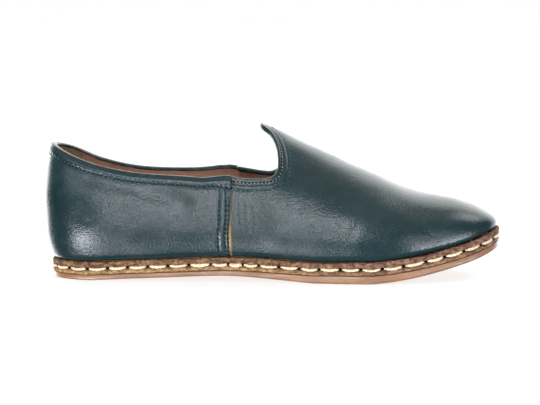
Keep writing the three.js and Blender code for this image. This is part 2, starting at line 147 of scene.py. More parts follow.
# The collar and throat edge from the side: x, height on the medial side, on the lateral side
COLLAR = [
    [14, 72.0, 72.9],
    [30, 66.0, 65.3],
    [52, 61.3, 59.9],
    [84, 58.9, 58.4],
    [94, 58.2, 59.0],
    [100, 58.8, 59.7],
    [106, 59.2, 59.5],
    [110, 58.9, 58.9],
    [116, 58.0, 57.9],
    [125, 57.8, 56.4],
    [130.5, 58.3, 56.3],
    [134.0, 59.9, 58.2],
    [135.8, 62.8, 61.4],
    [136.2, 69.0, 68.8],
    [135.0, 75.8, 75.8],
    [131.6, 82.2, 82.2],
]
LINE_POINTS = 3201
TABLE_X = np.linspace(-8, 270, 5561)
FINE_PLACES = 4001  # places at which a line is measured


def natural_spline(xs, ys):
    """A natural cubic spline: its bend at each knot solves the usual three-term equations, and each
    span is the straight line between its ends plus a cubic of the two bends."""
    n = len(xs)
    span = np.diff(xs)
    inner = np.arange(1, n - 1)
    system = np.eye(n)
    system[inner, inner - 1] = span[:-1]
    system[inner, inner] = 2 * (span[:-1] + span[1:])
    system[inner, inner + 1] = span[1:]
    turn = np.zeros(n)
    turn[inner] = 6 * np.diff(np.diff(ys) / span)
    bend = np.linalg.solve(system, turn)

    def at(x):
        i = np.clip(np.searchsorted(xs, x) - 1, 0, n - 2)
        a = (xs[i + 1] - x) / span[i]
        b = 1 - a
        cubic = (a**3 - a) * bend[i] + (b**3 - b) * bend[i + 1]
        return a * ys[i] + b * ys[i + 1] + cubic * span[i] ** 2 / 6

    return at


def columns(rows):
    """Each column of a table as a function of x, read between closely spaced values of its spline."""
    table = np.array(rows, float)
    values = [natural_spline(table[:, 0], column)(TABLE_X) for column in table[:, 1:].T]
    return [lambda x, v=v: np.interp(x, TABLE_X, v) for v in values]


last_top, last_centre, last_breadth, last_ridge, last_roundness = columns(LAST)
wall_rise, wall_dip, wall_overhang = columns(WALLS)
sole_bottom, sole_outsole = columns(SOLE)


def smoothstep(x, low=0.0, high=1.0):
    """Rises from 0 at low to 1 at high: three times the square of the share less twice its cube."""
    share = np.clip((x - low) / (high - low), 0, 1)
    return share * share * (3 - 2 * share)


def bell(x, middle, width):
    """1 at the middle and falling off as the exponential of minus the squared distance in widths."""
    return np.exp(-(((x - middle) / width) ** 2))


def normalised(vectors):
    return vectors / np.linalg.norm(vectors, axis=-1, keepdims=True)


def distances(points):
    """Distances along a line of points, from its first one."""
    return np.concatenate([[0], np.cumsum(np.linalg.norm(np.diff(points, axis=0), axis=1))])


def bottom_z(x):
    return np.maximum(0, sole_bottom(x))


def outsole_top_z(x):
    return bottom_z(x) + sole_outsole(x)


def midsole_foot_z(x):
    return outsole_top_z(x) + GAP


def midsole_top_z(x):
    return midsole_foot_z(x) + MIDSOLE


def welt_foot_z(x):
    return midsole_top_z(x) + GAP


def welt_top_z(x):
    return welt_foot_z(x) + WELT_HEIGHT


def widest_z(x):
    return welt_top_z(x) + wall_rise(x)


def top_z(x):
    """The spine of the last, which falls to the widest line over the toe drop."""
    into = np.clip((x - UPPER_LENGTH + TOE_DROP) / TOE_DROP, 0, 1)
    low = widest_z(x)
    return low + (last_top(x) - low) * np.sqrt(1 - into**DROP_FULLNESS)


def half_breadth(x):
    """Half breadth of the widest line, times the root of 1 less a power of the way into each end."""
    heel = np.clip((HEEL_ROUND - x) / HEEL_ROUND, 0, 1)
    toe = np.clip((x - UPPER_LENGTH + TOE_ROUND) / TOE_ROUND, 0, 1)
    return last_breadth(x) * np.sqrt((1 - heel**END_FULLNESS) * (1 - toe**END_FULLNESS))


def heel_lean(z):
    """How far the back has leaned forward at a height, growing as the square of the way up."""
    return HEEL_LEAN * (np.maximum(0, z - HEEL_LEAN_FROM) / (HEEL_TOP - HEEL_LEAN_FROM)) ** 2


def section(x, z):
    """Half breadth and middle of the last at x and z: the widest line's half breadth times the root
    of 1 less a power of the way up, round a middle that moves from the centre to the ridge."""
    fade = 1 - smoothstep(x, 0, HEEL_LEAN_REACH)
    low = widest_z(x)
    up = np.clip((z - low) / np.maximum(1e-6, top_z(x) - low), 0, 1)
    breadth = half_breadth(x - heel_lean(z) * fade)
    middle = last_centre(x) + (last_ridge(x) - last_centre(x)) * smoothstep(up)
    return breadth * np.sqrt(1 - up ** last_roundness(x)), middle


def inside_last(p):
    x, y, z = p[..., 0], p[..., 1], p[..., 2]
    half, middle = section(x, z)
    return (x > 0) & (x < UPPER_LENGTH) & (z <= top_z(x)) & (np.abs(y - middle) < half)


def widest_line(side):
    """The widest line of one side, its points closer together towards both ends as a cosine."""
    x = UPPER_LENGTH * (1 - np.cos(np.linspace(0, math.pi, LINE_POINTS))) / 2
    return np.stack([x, last_centre(x) + side * half_breadth(x), widest_z(x)], axis=-1)


def centripetal_curve(knots, count):
    """A centripetal Catmull-Rom curve through the knots: cubics whose end slopes are weighted by the
    root of the distance between knots, with a mirrored knot added beyond each end."""
    p = np.vstack([2 * knots[0] - knots[1], knots, 2 * knots[-1] - knots[-2]])
    place = np.linspace(0, len(knots) - 1, count)
    i = np.minimum(place.astype(int), len(knots) - 2)
    share = (place - i)[:, None]
    a, b, c, d = p[i], p[i + 1], p[i + 2], p[i + 3]

    def weight(q, r):
        return np.sqrt(np.linalg.norm(r - q, axis=1))[:, None]

    before, across, after = weight(a, b), weight(b, c), weight(c, d)
    start = ((b - a) / before - (c - a) / (before + across) + (c - b) / across) * across
    end = ((c - b) / across - (d - b) / (across + after) + (d - c) / after) * across
    square = -3 * b + 3 * c - 2 * start - end
    cube = 2 * b - 2 * c + start + end
    return b + start * share + square * share**2 + cube * share**3


def collar_line(side):
    """The collar and throat edge of one side: its curve seen from the side, laid on to the last."""
    column = 1 if side < 0 else 2
    heel = [float(heel_lean(HEEL_EDGE_Z)), HEEL_EDGE_Z]
    tongue = [TONGUE_X, float(top_z(np.array(TONGUE_X)))]
    knots = np.array([heel, *[[row[0], row[column]] for row in COLLAR], tongue])
    flat = centripetal_curve(knots, LINE_POINTS)
    half, middle = section(flat[:, 0], flat[:, 1])
    return np.stack([flat[:, 0], middle + side * half, flat[:, 1]], axis=-1)


def round_the_shoe(line, seam_x):
    """A line of both sides as a table of places: 0 to 1 from the heel to the medial seam, 1 to 2 to
    the toe, then back to 3 at the lateral seam and 4 at the heel, each stretch by share of length."""
    halves = []
    for side, cut_x in ((-1, seam_x), (1, seam_x + LATERAL_SEAM_AHEAD)):
        points = line(side)
        cut = int(np.argmax(points[:, 0] > cut_x))
        far = distances(points)
        ahead = 1 + (far - far[cut]) / (far[-1] - far[cut])
        halves.append((np.where(far <= far[cut], far / far[cut], ahead), points))
    (medial_at, medial), (lateral_at, lateral) = halves
    return (
        np.concatenate([medial_at, 4 - lateral_at[-2::-1]]),
        np.concatenate([medial, lateral[-2::-1]]),
    )


FOOT_LINE = round_the_shoe(widest_line, SEAM_FOOT_X)
EDGE_LINE = round_the_shoe(collar_line, SEAM_TOP_X)


def along_line(line, u):
    at, points = line
    return np.stack([np.interp(u % 4, at, points[:, i]) for i in range(3)], axis=-1)


def outward(u):
    """The outward direction of the widest line in plan: its run over 0.02 of place, turned right."""
    run = along_line(FOOT_LINE, u + 0.01) - along_line(FOOT_LINE, u - 0.01)
    return normalised(np.stack([run[..., 1], -run[..., 0], np.zeros(np.shape(u))], axis=-1))


def rib_point(u, t):
    """A point of the last on the rib of place u: the straight line from the widest line (t = 0) to
    the collar edge (t = 1), pushed away from a core until it meets the last, by repeated halving."""
    foot, edge = along_line(FOOT_LINE, u), along_line(EDGE_LINE, u)
    straight = foot + (edge - foot) * t[..., None]
    core_x = np.clip(straight[..., 0], HEEL_ROUND, UPPER_LENGTH - TOE_ROUND)
    core = np.stack([core_x, last_centre(core_x), widest_z(core_x) + CORE_RISE], axis=-1)
    reach = straight - core
    near, far = np.zeros(u.shape), np.full(u.shape, 2.0)
    for _ in range(HALVINGS):
        middle = (near + far) / 2
        inside = inside_last(core + reach * middle[..., None])
        near = np.where(inside, middle, near)
        far = np.where(inside, far, middle)
    return core + reach * near[..., None]


def rib_normal(u, t):
    """The outward direction of the last on a rib: the run along u crossed with the run along t."""
    du, dt = 0.012, 0.02
    run = rib_point(u + du, t) - rib_point(u - du, t)
    rise = rib_point(u, np.clip(t + dt, 0, 1)) - rib_point(u, np.clip(t - dt, 0, 1))
    return normalised(np.cross(run, rise))


def foot_inset(x):
    return wall_overhang(x) + WELT_WIDTH + GAP


def lower_wall(u, level, depth):
    """A point of the wall below the widest line, from the welt (level 0) up to that line (level 1).
    It draws in as the square of the way down, and a quarter round rolls it under above the welt."""
    foot = along_line(FOOT_LINE, u)
    height = wall_rise(foot[..., 0]) - GAP
    roll = np.minimum(ROLL_UNDER, ROLL_SHARE * height) + np.maximum(0, depth)
    under = np.clip(1 - level * height / roll, 0, 1)
    dip = wall_dip(foot[..., 0])
    tuck = (foot_inset(foot[..., 0]) - dip) * (1 - np.sqrt(1 - under**2))
    point = foot - outward(u) * (depth + dip * (1 - level) ** 2 + tuck)[..., None]
    point[..., 2] = foot[..., 2] - (1 - level) * height
    return point


class Wall:
    """The upper's wall on arrays of places u and heights v, where v runs from -1 at the welt through
    0 at the widest line to 1 at the collar edge."""

    def __init__(self, u, v):
        self.u, self.v = np.broadcast_arrays(np.asarray(u, float), np.asarray(v, float))
        self.high = self.v > 0
        self.rib = rib_point(self.u[self.high], self.v[self.high])
        self.normal = rib_normal(self.u[self.high], self.v[self.high])

    def at(self, depth):
        """Points at a depth below the leather's face, measured along the wall's inward direction."""
        depth = np.broadcast_to(np.asarray(depth, float), self.u.shape)
        points = np.empty(self.u.shape + (3,))
        low = ~self.high
        points[low] = lower_wall(self.u[low], 1 + self.v[low], depth[low])
        points[self.high] = self.rib - self.normal * depth[self.high][:, None]
        return points

    def facing(self):
        """The outward direction at every point."""
        directions = outward(self.u)
        directions[self.high] = self.normal
        return directions


def rib_length(u):
    """Length of a rib's straight line, from the widest line to the collar edge."""
    return np.linalg.norm(along_line(EDGE_LINE, u) - along_line(FOOT_LINE, u), axis=-1)


def inner_depth(below):
    """How deep the wall's inner face lies at a distance below the collar edge: the wall's thickness,
    less the edge's thinning times 1 less a smooth step of that distance."""
    return WALL - EDGE_THINNING * (1 - smoothstep(below, *THINNING_REACH))


def below_edge(u, distance):
    """Height v of the point a distance below the collar edge, measured along the straight rib."""
    return 1 - distance / rib_length(u)


def square_below_edge(u, distance):
    """Height v at a distance square to the collar edge: the rib's distance over the sine of the
    angle between the rib and the edge."""
    run = normalised(along_line(EDGE_LINE, u + 0.01) - along_line(EDGE_LINE, u - 0.01))
    top = np.ones_like(u)
    rib = normalised(rib_point(u, top) - rib_point(u, below_edge(u, 3.0)))
    sine = np.linalg.norm(np.cross(run, rib), axis=-1)
    return below_edge(u, distance / np.maximum(0.5, sine))


def sole_point(u, inset, z_of):
    """A point of the sole's edge, inset from the welt's outline, at the height z_of gives there."""
    foot = along_line(FOOT_LINE, u)
    away = wall_overhang(foot[..., 0]) + inset
    point = foot - outward(u) * away[..., None]
    point[..., 2] = z_of(np.clip(point[..., 0], *SOLE_ENDS))
    return point


def equal_places(line_of, start, end, count, ends=True):
    """Places u between start and end that are equally far apart along the line that line_of draws."""
    fine = np.linspace(start, end, FINE_PLACES)
    far = distances(line_of(fine))
    wanted = np.linspace(0, far[-1], count, endpoint=ends)
    return np.interp(wanted, far, fine)


def welt_outline(u):
    return sole_point(u, np.zeros_like(u), midsole_top_z)


def ripple(points, size, seed, waves=14):
    """Soft noise between about -1 and 1: the sum of sine waves in random directions, whose lengths
    are spread round size, times the root of two over their number, over RIPPLE_PEAK."""
    rng = np.random.default_rng(seed)
    total = np.zeros(points.shape[:-1])
    for _ in range(waves):
        direction = normalised(rng.normal(size=3))
        length = size * rng.uniform(0.6, 1.5)
        total += np.sin(points @ direction * (2 * math.pi / length) + rng.uniform(0, 2 * math.pi))
    return total * math.sqrt(2 / waves) / RIPPLE_PEAK


def uneven(points, *layers):
    """The sum of ripples, each a height, the length of its waves and a seed."""
    return sum(height * ripple(points, size, seed) for height, size, seed in layers)


# Meshes


def grid_faces(columns_count, rows_count, close_columns, close_rows):
    """Quads of a grid whose points are numbered column by column, wrapping where it is closed."""
    i = np.arange(columns_count if close_columns else columns_count - 1)[:, None]
    j = np.arange(rows_count if close_rows else rows_count - 1)[None, :]
    after, up = (i + 1) % columns_count, (j + 1) % rows_count
    corners = [i * rows_count + j, after * rows_count + j, after * rows_count + up, i * rows_count + up]
    return np.stack(np.broadcast_arrays(*corners), axis=-1).reshape(-1, 4)


def turned_outwards(points, faces):
    """The faces with their order reversed if the closed mesh they make has a negative volume, which
    is a sixth of the sum of the triple products of each triangle's corners."""
    a, b, c, d = (points[faces[:, i]] for i in range(4))
    volume = np.einsum("ij,ij->", a, np.cross(b, c)) + np.einsum("ij,ij->", a, np.cross(c, d))
    return faces if volume > 0 else faces[:, ::-1]


def make_piece(name, points, faces, finishes, replaces=(), face_finish=None, marks=None):
    """A mesh object in the frame from shoe millimetres, riding on the shoe's one body."""
    flat = points.reshape(-1, 3)
    mesh = bpy.data.meshes.new(name)
    mesh.from_pydata(((flat - ORIGIN) * MM).tolist(), [], faces.tolist())
    for finish in finishes:
        mesh.materials.append(finish)
    if face_finish is not None:
        mesh.polygons.foreach_set("material_index", face_finish.astype(np.int32))
    for mark, values in (marks or {}).items():
        layer = mesh.attributes.new(mark, "FLOAT", "POINT")
        layer.data.foreach_set("value", np.ascontiguousarray(values, np.float32).ravel())
    mesh.polygons.foreach_set("use_smooth", np.ones(len(faces), bool))
    mesh.update()
    piece = bpy.data.objects.new(name, mesh)
    bpy.context.scene.collection.objects.link(piece)
    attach(piece, "root")
    if replaces:
        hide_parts(*replaces)


def shell_faces(columns_count, rows_count):
    """Quads of a closed skin: columns of an outer face and back along an inner face, with a ladder of
    quads across the first and the last column."""
    size = 2 * rows_count
    sides = grid_faces(columns_count, size, False, True)
    j = np.arange(rows_count - 1)
    across = size - 1 - j
    start = np.stack([j, j + 1, across - 1, across], axis=-1)
    end = start[:, ::-1] + (columns_count - 1) * size
    return np.concatenate([sides, start, end])


def skin_piece(name, outer, inner, finishes, replaces=(), closed=False, face_finish=None, marks=None):
    """A closed skin from an outer and an inner face, two grids of the same size joined all round.
    A closed one runs once round the shoe. Marks are given for one face and count for both."""
    columns_count, rows_count = outer.shape[:2]
    points = np.concatenate([outer, inner[:, ::-1]], axis=1).reshape(-1, 3)
    if closed:
        faces = grid_faces(columns_count, 2 * rows_count, True, True)
    else:
        faces = shell_faces(columns_count, rows_count)
    both = {
        mark: np.concatenate([values, values[:, ::-1]], axis=1)
        for mark, values in (marks or {}).items()
    }
    make_piece(name, points, turned_outwards(points, faces), finishes, replaces, face_finish, both)


# Finishes


class Finish:
    """A node material: a principled shader, with short calls for the patterns that feed it."""

    def __init__(self, name, **values):
        self.material = bpy.data.materials.new(name)
        self.material.use_nodes = True
        self.nodes = self.material.node_tree.nodes
        self.links = self.material.node_tree.links
        self.shader = self.nodes["Principled BSDF"]
        self.place = self.nodes.new("ShaderNodeTexCoord").outputs["Object"]
        for socket, value in values.items():
            self.shader.inputs[socket.replace("_", " ")].default_value = value

    def feed(self, socket, source):
        if isinstance(source, bpy.types.NodeSocket):
            self.links.new(source, socket)
        else:
            socket.default_value = source

    def stretched(self, stretch):
        """Places on the piece, for a pattern that is stretched along the axes."""
        mapping = self.nodes.new("ShaderNodeMapping")
        mapping.inputs["Scale"].default_value = [1 / s for s in stretch]
        self.links.new(self.place, mapping.inputs["Vector"])
        return mapping.outputs["Vector"]

    def noise(self, size, detail=3.0, roughness=0.55, stretch=(1, 1, 1)):
        """Noise whose lumps are about size millimetres."""
        place = self.stretched(stretch)
        node = self.nodes.new("ShaderNodeTexNoise")
        node.inputs["Scale"].default_value = 1 / (size * MM)
        node.inputs["Detail"].default_value = detail
        node.inputs["Roughness"].default_value = roughness
        self.links.new(place, node.inputs["Vector"])
        return node.outputs["Fac"]

    def cells(self, size, soft=0.6, stretch=(1, 1, 1)):
        """Rounded cells about size millimetres across: 0 in their middles, rising to the borders."""
        place = self.stretched(stretch)
        node = self.nodes.new("ShaderNodeTexVoronoi")
        node.feature = "SMOOTH_F1"
        node.inputs["Scale"].default_value = 1 / (size * MM)
        node.inputs["Smoothness"].default_value = soft
        self.links.new(place, node.inputs["Vector"])
        return node.outputs["Distance"]

    def mark(self, name):
        """A value that the mesh carries at its points."""
        node = self.nodes.new("ShaderNodeAttribute")
        node.attribute_name = name
        return node.outputs["Fac"]

    def ramp(self, source, *stops):
        """A ramp from stops of (place, value or colour)."""
        node = self.nodes.new("ShaderNodeValToRGB")
        self.links.new(source, node.inputs["Fac"])
        elements = node.color_ramp.elements
        for index, (place, value) in enumerate(stops):
            element = elements[index] if index < 2 else elements.new(place)
            element.position = place
            colour = (value, value, value) if isinstance(value, (int, float)) else value
            element.color = (*colour, 1)
        return node.outputs["Color"]

    def less(self, pattern):
        """1 less a pattern, which makes crowns of its hollows."""
        node = self.nodes.new("ShaderNodeMath")
        node.operation = "SUBTRACT"
        node.inputs[0].default_value = 1.0
        self.links.new(pattern, node.inputs[1])
        return node.outputs["Value"]

    def mix(self, share, a, b):
        """Two colours mixed by a share, which may itself be a pattern."""
        node = self.nodes.new("ShaderNodeMix")
        node.data_type = "RGBA"
        node.blend_type = "MIX"
        self.feed(node.inputs[0], share)
        for socket, colour in ((node.inputs[6], a), (node.inputs[7], b)):
            self.feed(socket, colour if isinstance(colour, bpy.types.NodeSocket) else (*colour, 1))
        return node.outputs[2]

    def tint(self, tone, pattern, low, high, share, colour):
        """A tone that turns to a colour, by a share at most, where a pattern rises from low to high."""
        return self.mix(self.ramp(pattern, (low, 0.0), (high, share)), tone, colour)

    def colour(self, source):
        self.links.new(source, self.shader.inputs["Base Color"])

    def gloss(self, source):
        self.links.new(source, self.shader.inputs["Roughness"])

    def relief(self, *layers):
        """Bumps, each a (height pattern, depth in millimetres), laid one over another."""
        normal = None
        for height, depth in layers:
            node = self.nodes.new("ShaderNodeBump")
            node.inputs["Strength"].default_value = 1.0
            node.inputs["Distance"].default_value = depth * MM
            self.links.new(height, node.inputs["Height"])
            if normal:
                self.links.new(normal, node.inputs["Normal"])
            normal = node.outputs["Normal"]
        self.links.new(normal, self.shader.inputs["Normal"])


GREEN_DEEP = (0.0075, 0.025, 0.028)
GREEN_BODY = (0.012, 0.035, 0.039)
GREEN_WORN = (0.027, 0.053, 0.059)
# Dark and pale tone of a leather, or painted shadow, body and crown of a fibrous edge: the shadow tone is
# shade painted into the hollows of the fibre relief
FRESH_EDGE = ((0.3, 0.16, 0.04), (0.6, 0.36, 0.11))
OLD_EDGE = ((0.06, 0.045, 0.035), (0.2, 0.13, 0.08))
QUARTER_LINING = ((0.42, 0.22, 0.145), (0.56, 0.33, 0.225))
VAMP_LINING = ((0.24, 0.11, 0.07), (0.36, 0.18, 0.115))
SUEDE_TAN = ((0.12, 0.075, 0.045), (0.52, 0.38, 0.25))
INSOLE_TAN = ((0.4, 0.24, 0.105), (0.52, 0.33, 0.16))
RUBBER_TAN = ((0.26, 0.13, 0.065), (0.37, 0.198, 0.108))
# Painted shade: near-black tones for the domes that stand in for the shadow in stitch holes
HOLE_SHADE_TONES = ((0.004, 0.004, 0.004), (0.012, 0.01, 0.009))
WELT_GOLD = ((0.05, 0.022, 0.011), (0.18, 0.088, 0.037), (0.4, 0.22, 0.095))
WELT_BROWN = ((0.055, 0.026, 0.016), (0.19, 0.095, 0.055), (0.4, 0.22, 0.135))
MIDSOLE_GOLD = ((0.13, 0.06, 0.02), (0.34, 0.19, 0.068), (0.58, 0.38, 0.17))
MIDSOLE_BROWN = ((0.07, 0.033, 0.018), (0.2, 0.105, 0.052), (0.42, 0.25, 0.14))
FIBRE_STOPS = (0.4, 0.5, 0.62)
LINING_DRAG = (0.17, 0.08, 0.05)
INSOLE_PORE = (0.28, 0.16, 0.07)
# Pale streaks of the outsole's edge: rubbing, and painted highlight of the glossy edge
RUBBED_STREAK_AND_HIGHLIGHT = (0.55, 0.355, 0.255)
WELT_PATCH = (0.12, 0.062, 0.035)
MIDSOLE_PATCH = (0.24, 0.12, 0.06)


def green_leather():
    """Fine pebbled leather, waxed to a medium gloss: deep teal, paler on the crowns of its grain."""
    finish = Finish("green_leather", Roughness=0.3, Specular_IOR_Level=0.5)
    broad = finish.noise(34, 3, 0.5)
    cloudy = finish.noise(7, 4, 0.6)
    grain = finish.cells(1.0, 0.5, (1, 1, 0.85))
    pores = finish.noise(0.55, 2, 0.6)
    creping = finish.noise(1.9, 4, 0.65, (1, 1, 1.5))
    body = finish.tint(GREEN_DEEP, broad, 0.35, 0.68, 1.0, GREEN_BODY)
    body = finish.tint(body, cloudy, 0.45, 0.8, 0.35, GREEN_WORN)
    finish.colour(finish.tint(body, grain, 0.4, 0.9, 0.35, GREEN_DEEP))
    finish.gloss(finish.ramp(cloudy, (0.3, 0.23), (0.75, 0.31)))
    finish.relief((creping, 0.02), (finish.less(grain), 0.085), (pores, 0.025))
    return finish.material


def raw_edge():
    """The cut edge of vegetable-tanned leather: ochre where it is fresh, brown elsewhere."""
    finish = Finish("raw_edge", Roughness=0.8)
    fibre = finish.noise(1.2, 4, 0.65, (1, 1, 4))
    ochre, brown = (finish.ramp(fibre, *zip((0.3, 0.7), tones)) for tones in (FRESH_EDGE, OLD_EDGE))
    finish.colour(finish.mix(finish.mark("fresh"), brown, ochre))
    finish.relief((fibre, 0.1))
    return finish.material


def lining_leather():
    """Unpolished lining leather, pinkish brown, with a soft drag of fibres along the shoe. The
    quarters' lining is paler than the vamp's."""
    finish = Finish("lining_leather", Roughness=0.72)
    broad = finish.noise(18, 3, 0.5)
    drag = finish.noise(1.6, 4, 0.6, (4, 4, 1))
    vamp, quarters = (
        finish.tint(dark, broad, 0.35, 0.65, 1.0, pale) for dark, pale in (VAMP_LINING, QUARTER_LINING)
    )
    tone = finish.mix(finish.mark("quarters"), vamp, quarters)
    finish.colour(finish.tint(tone, drag, 0.4, 0.75, 0.45, LINING_DRAG))
    finish.relief((drag, 0.12))
    return finish.material


def rough_suede():
    """The brushed suede of the heel grip: greyish tan, napped in small tufts."""
    finish = Finish("rough_suede", Roughness=0.95)
    nap = finish.noise(1.1, 5, 0.75)
    finish.colour(finish.ramp(nap, *zip((0.3, 0.7), SUEDE_TAN)))
    finish.relief((nap, 0.4))
    return finish.material


def insole_leather():
    """The tan leather insole, faintly clouded and rubbed."""
    finish = Finish("insole_leather", Roughness=0.55)
    tone = finish.ramp(finish.noise(22, 4, 0.6), *zip((0.3, 0.7), INSOLE_TAN))
    finish.colour(finish.tint(tone, finish.cells(0.8, 0.5), 0.4, 0.8, 0.25, INSOLE_PORE))
    finish.relief((finish.noise(1.5, 3), 0.05))
    return finish.material


def cut_edge(name, roughness, fibre, gold, brown, patch, low, high, share, patch_colour, depth):
    """The cut edge of a layer of the sole: matted fibre in three tones, its darkest a painted shadow in
    the fibres' hollows, golden at the back and brown round the forepart, darker in patches."""
    finish = Finish(name, Roughness=roughness)
    fibres = finish.noise(*fibre)
    patches = finish.noise(patch, 3, 0.6)
    # The darkest fibre tone is painted shadow, where the relief below presses in
    back, front = (finish.ramp(fibres, *zip(FIBRE_STOPS, tones)) for tones in (gold, brown))
    tone = finish.mix(finish.mark("forepart"), back, front)
    finish.colour(finish.tint(tone, patches, low, high, share, patch_colour))
    finish.relief((fibres, depth))
    return finish.material


def outsole_rubber():
    """Pinkish tan sole, trimmed and burnished on its edge, with pale streaks: rubbing, and a painted
    highlight of its gloss.
    """
    finish = Finish("outsole_rubber", Roughness=0.38, Coat_Weight=0.25, Coat_Roughness=0.15)
    streak = finish.noise(5, 5, 0.7, (4, 4, 0.5))
    dark, pale = RUBBER_TAN
    tone = finish.tint(dark, finish.noise(30, 3, 0.5), 0.35, 0.65, 1.0, pale)
    # Pale streaks, partly rubbing and partly painted highlight, glossier where they are
    finish.colour(finish.tint(tone, streak, 0.52, 0.7, 0.5, RUBBED_STREAK_AND_HIGHLIGHT))
    finish.gloss(finish.ramp(streak, (0.4, 0.45), (0.7, 0.22)))
    finish.relief((streak, 0.06))
    return finish.material


def thread(name, dark, pale, roughness):
    """Thread of one colour, shaded between its plies."""
    finish = Finish(name, Roughness=roughness, Specular_IOR_Level=0.3)
    twist = finish.noise(0.7, 3, 0.6)
    finish.colour(finish.ramp(twist, (0.35, dark), (0.65, pale)))
    finish.relief((twist, 0.08))
    return finish.material


def hole_shade_finish():
    """Painted shade: near black, standing in for the unlit inside of a stitch hole."""
    finish = Finish("stitch_hole_shade", Roughness=1.0, Specular_IOR_Level=0.0)
    finish.colour(finish.ramp(finish.noise(0.8), *zip((0.3, 0.7), HOLE_SHADE_TONES)))
    return finish.material


GREEN = green_leather()
RAW_EDGE = raw_edge()
LINING = lining_leather()
SUEDE_FINISH = rough_suede()
INSOLE_LEATHER = insole_leather()
WELT = cut_edge(
    "welt_leather", 0.85, (1.6, 6, 0.75, (1.8, 1.8, 1)), WELT_GOLD, WELT_BROWN,
    9, 0.5, 0.7, 0.5, WELT_PATCH, 0.5,
)
MIDSOLE_LEATHER = cut_edge(
    "midsole_leather", 0.75, (1.5, 6, 0.72, (2, 2, 1)), MIDSOLE_GOLD, MIDSOLE_BROWN,
    12, 0.5, 0.75, 0.45, MIDSOLE_PATCH, 0.35,
)
RUBBER = outsole_rubber()
TEAL_THREAD = thread("teal_thread", (0.01, 0.055, 0.06), (0.04, 0.17, 0.18), 0.4)
BEIGE_THREAD = thread("beige_thread", (0.42, 0.27, 0.12), (0.75, 0.56, 0.33), 0.6)
CREAM_THREAD = thread("cream_thread", (0.72, 0.55, 0.34), (0.98, 0.86, 0.64), 0.45)
HOLE_SHADE_FINISH = hole_shade_finish()


# Stitches


def tube_faces(tubes, steps, around):
    """Quads of many tubes of equal rings, with a ladder of quads across the first and last ring."""
    first = np.arange(around // 2 - 1)
    cap = np.stack([first, first + 1, around - 2 - first, around - 1 - first], axis=-1)
    sides = grid_faces(steps, around, False, True)
    one = np.concatenate([sides, cap, cap[:, ::-1] + (steps - 1) * around])
    start = (np.arange(tubes) * steps * around)[:, None, None]
    return (one[None] + start).reshape(-1, 4)


def stitch_tubes(centres, ups, radii, around, flat=1.0, plies=0, turns=0.0):
    """Tubes along many short paths. Each ring is its centre plus a circle of the ring's radius,
    pressed to a share of its height, and plies swell it where their cosine along the turn peaks."""
    stitches, steps = centres.shape[:2]
    run = normalised(np.gradient(centres, axis=1))
    side = normalised(np.cross(run, ups))
    lift = np.cross(side, run)
    angle = np.linspace(0, 2 * math.pi, around, endpoint=False)
    swell = np.ones((steps, around))
    if plies:
        way = np.linspace(0, turns * 2 * math.pi, steps)[:, None]
        swell = 0.68 + 0.32 * np.abs(np.cos((plies * angle[None, :] - way) / 2)) ** 0.8
    across = np.cos(angle)[None, None, :, None] * side[:, :, None, :]
    over = np.sin(angle)[None, None, :, None] * lift[:, :, None, :] * flat
    size = (radii[..., None] * swell[None])[..., None]
    points = centres[:, :, None, :] + (across + over) * size
    return points.reshape(-1, 3), tube_faces(stitches, steps, around)


def row_stitches(points, normals, share, radius, height, steps=7, around=8):
    """One stitch for each pair of neighbouring points of a row: it covers a share of the step, and
    lies a height over the leather as an arch that dives under it at both ends."""
    start, end = points[:-1], points[1:]
    way = np.linspace(0.5 - share / 2, 0.5 + share / 2, steps)
    arch = 1 - np.abs(np.linspace(-1, 1, steps)) ** 3
    ups = normalised(normals[:-1] + normals[1:])[:, None, :] * np.ones((1, steps, 1))
    lift = (height + radius) * arch - radius
    centres = start[:, None] + (end - start)[:, None] * way[None, :, None] + ups * lift[None, :, None]
    radii = np.broadcast_to(radius * (0.55 + 0.45 * arch), (len(start), steps))
    return stitch_tubes(centres, ups, radii, around)


def hole_shade_dots(points, normals, runs, radius, stretch, proud, around=8):
    """Low domes of painted shade, near black, standing in for the shadow in stitch holes: rings of falling
    radius that rise by the proud height, stretched along runs.
    """
    side = normalised(np.cross(normals, runs))
    angle = np.linspace(0, 2 * math.pi, around, endpoint=False)
    rings = []
    for share, rise in ((1.0, -0.6), (0.9, 0.55), (0.35, 1.0)):
        along = np.cos(angle)[None, :, None] * runs[:, None, :] * stretch
        across = np.sin(angle)[None, :, None] * side[:, None, :]
        rings.append(points[:, None] + (along + across) * radius * share + normals[:, None] * proud * rise)
    return np.stack(rings, axis=1).reshape(-1, 3), tube_faces(len(points), len(rings), around)


def thread_piece(name, finish, *parts):
    """One piece of many stitches or holes, from several (points, faces)."""
    starts = np.cumsum([0] + [len(points) for points, _ in parts[:-1]])
    points = np.concatenate([points for points, _ in parts])
    faces = np.concatenate([faces + start for (_, faces), start in zip(parts, starts)])
    make_piece(name, points, faces, [finish])


# Relief of the leather, in millimetres pressed in from its face

# Distances behind the quarter's front edge, at the top and at the foot
SEAM_ROWS = [(1.7, 1.5), (3.5, 3.1), (7.4, 7.0)]
THROAT_BEIGE_ROW = 2.0  # from the throat's edge
THROAT_TEAL_ROWS = (3.35, 6.35)
GROOVE_DEPTH = 0.2
GROOVE_WIDTH = 0.5
CREASE_FADE = (-1, -0.6)  # heights v over which creases come in above the welt
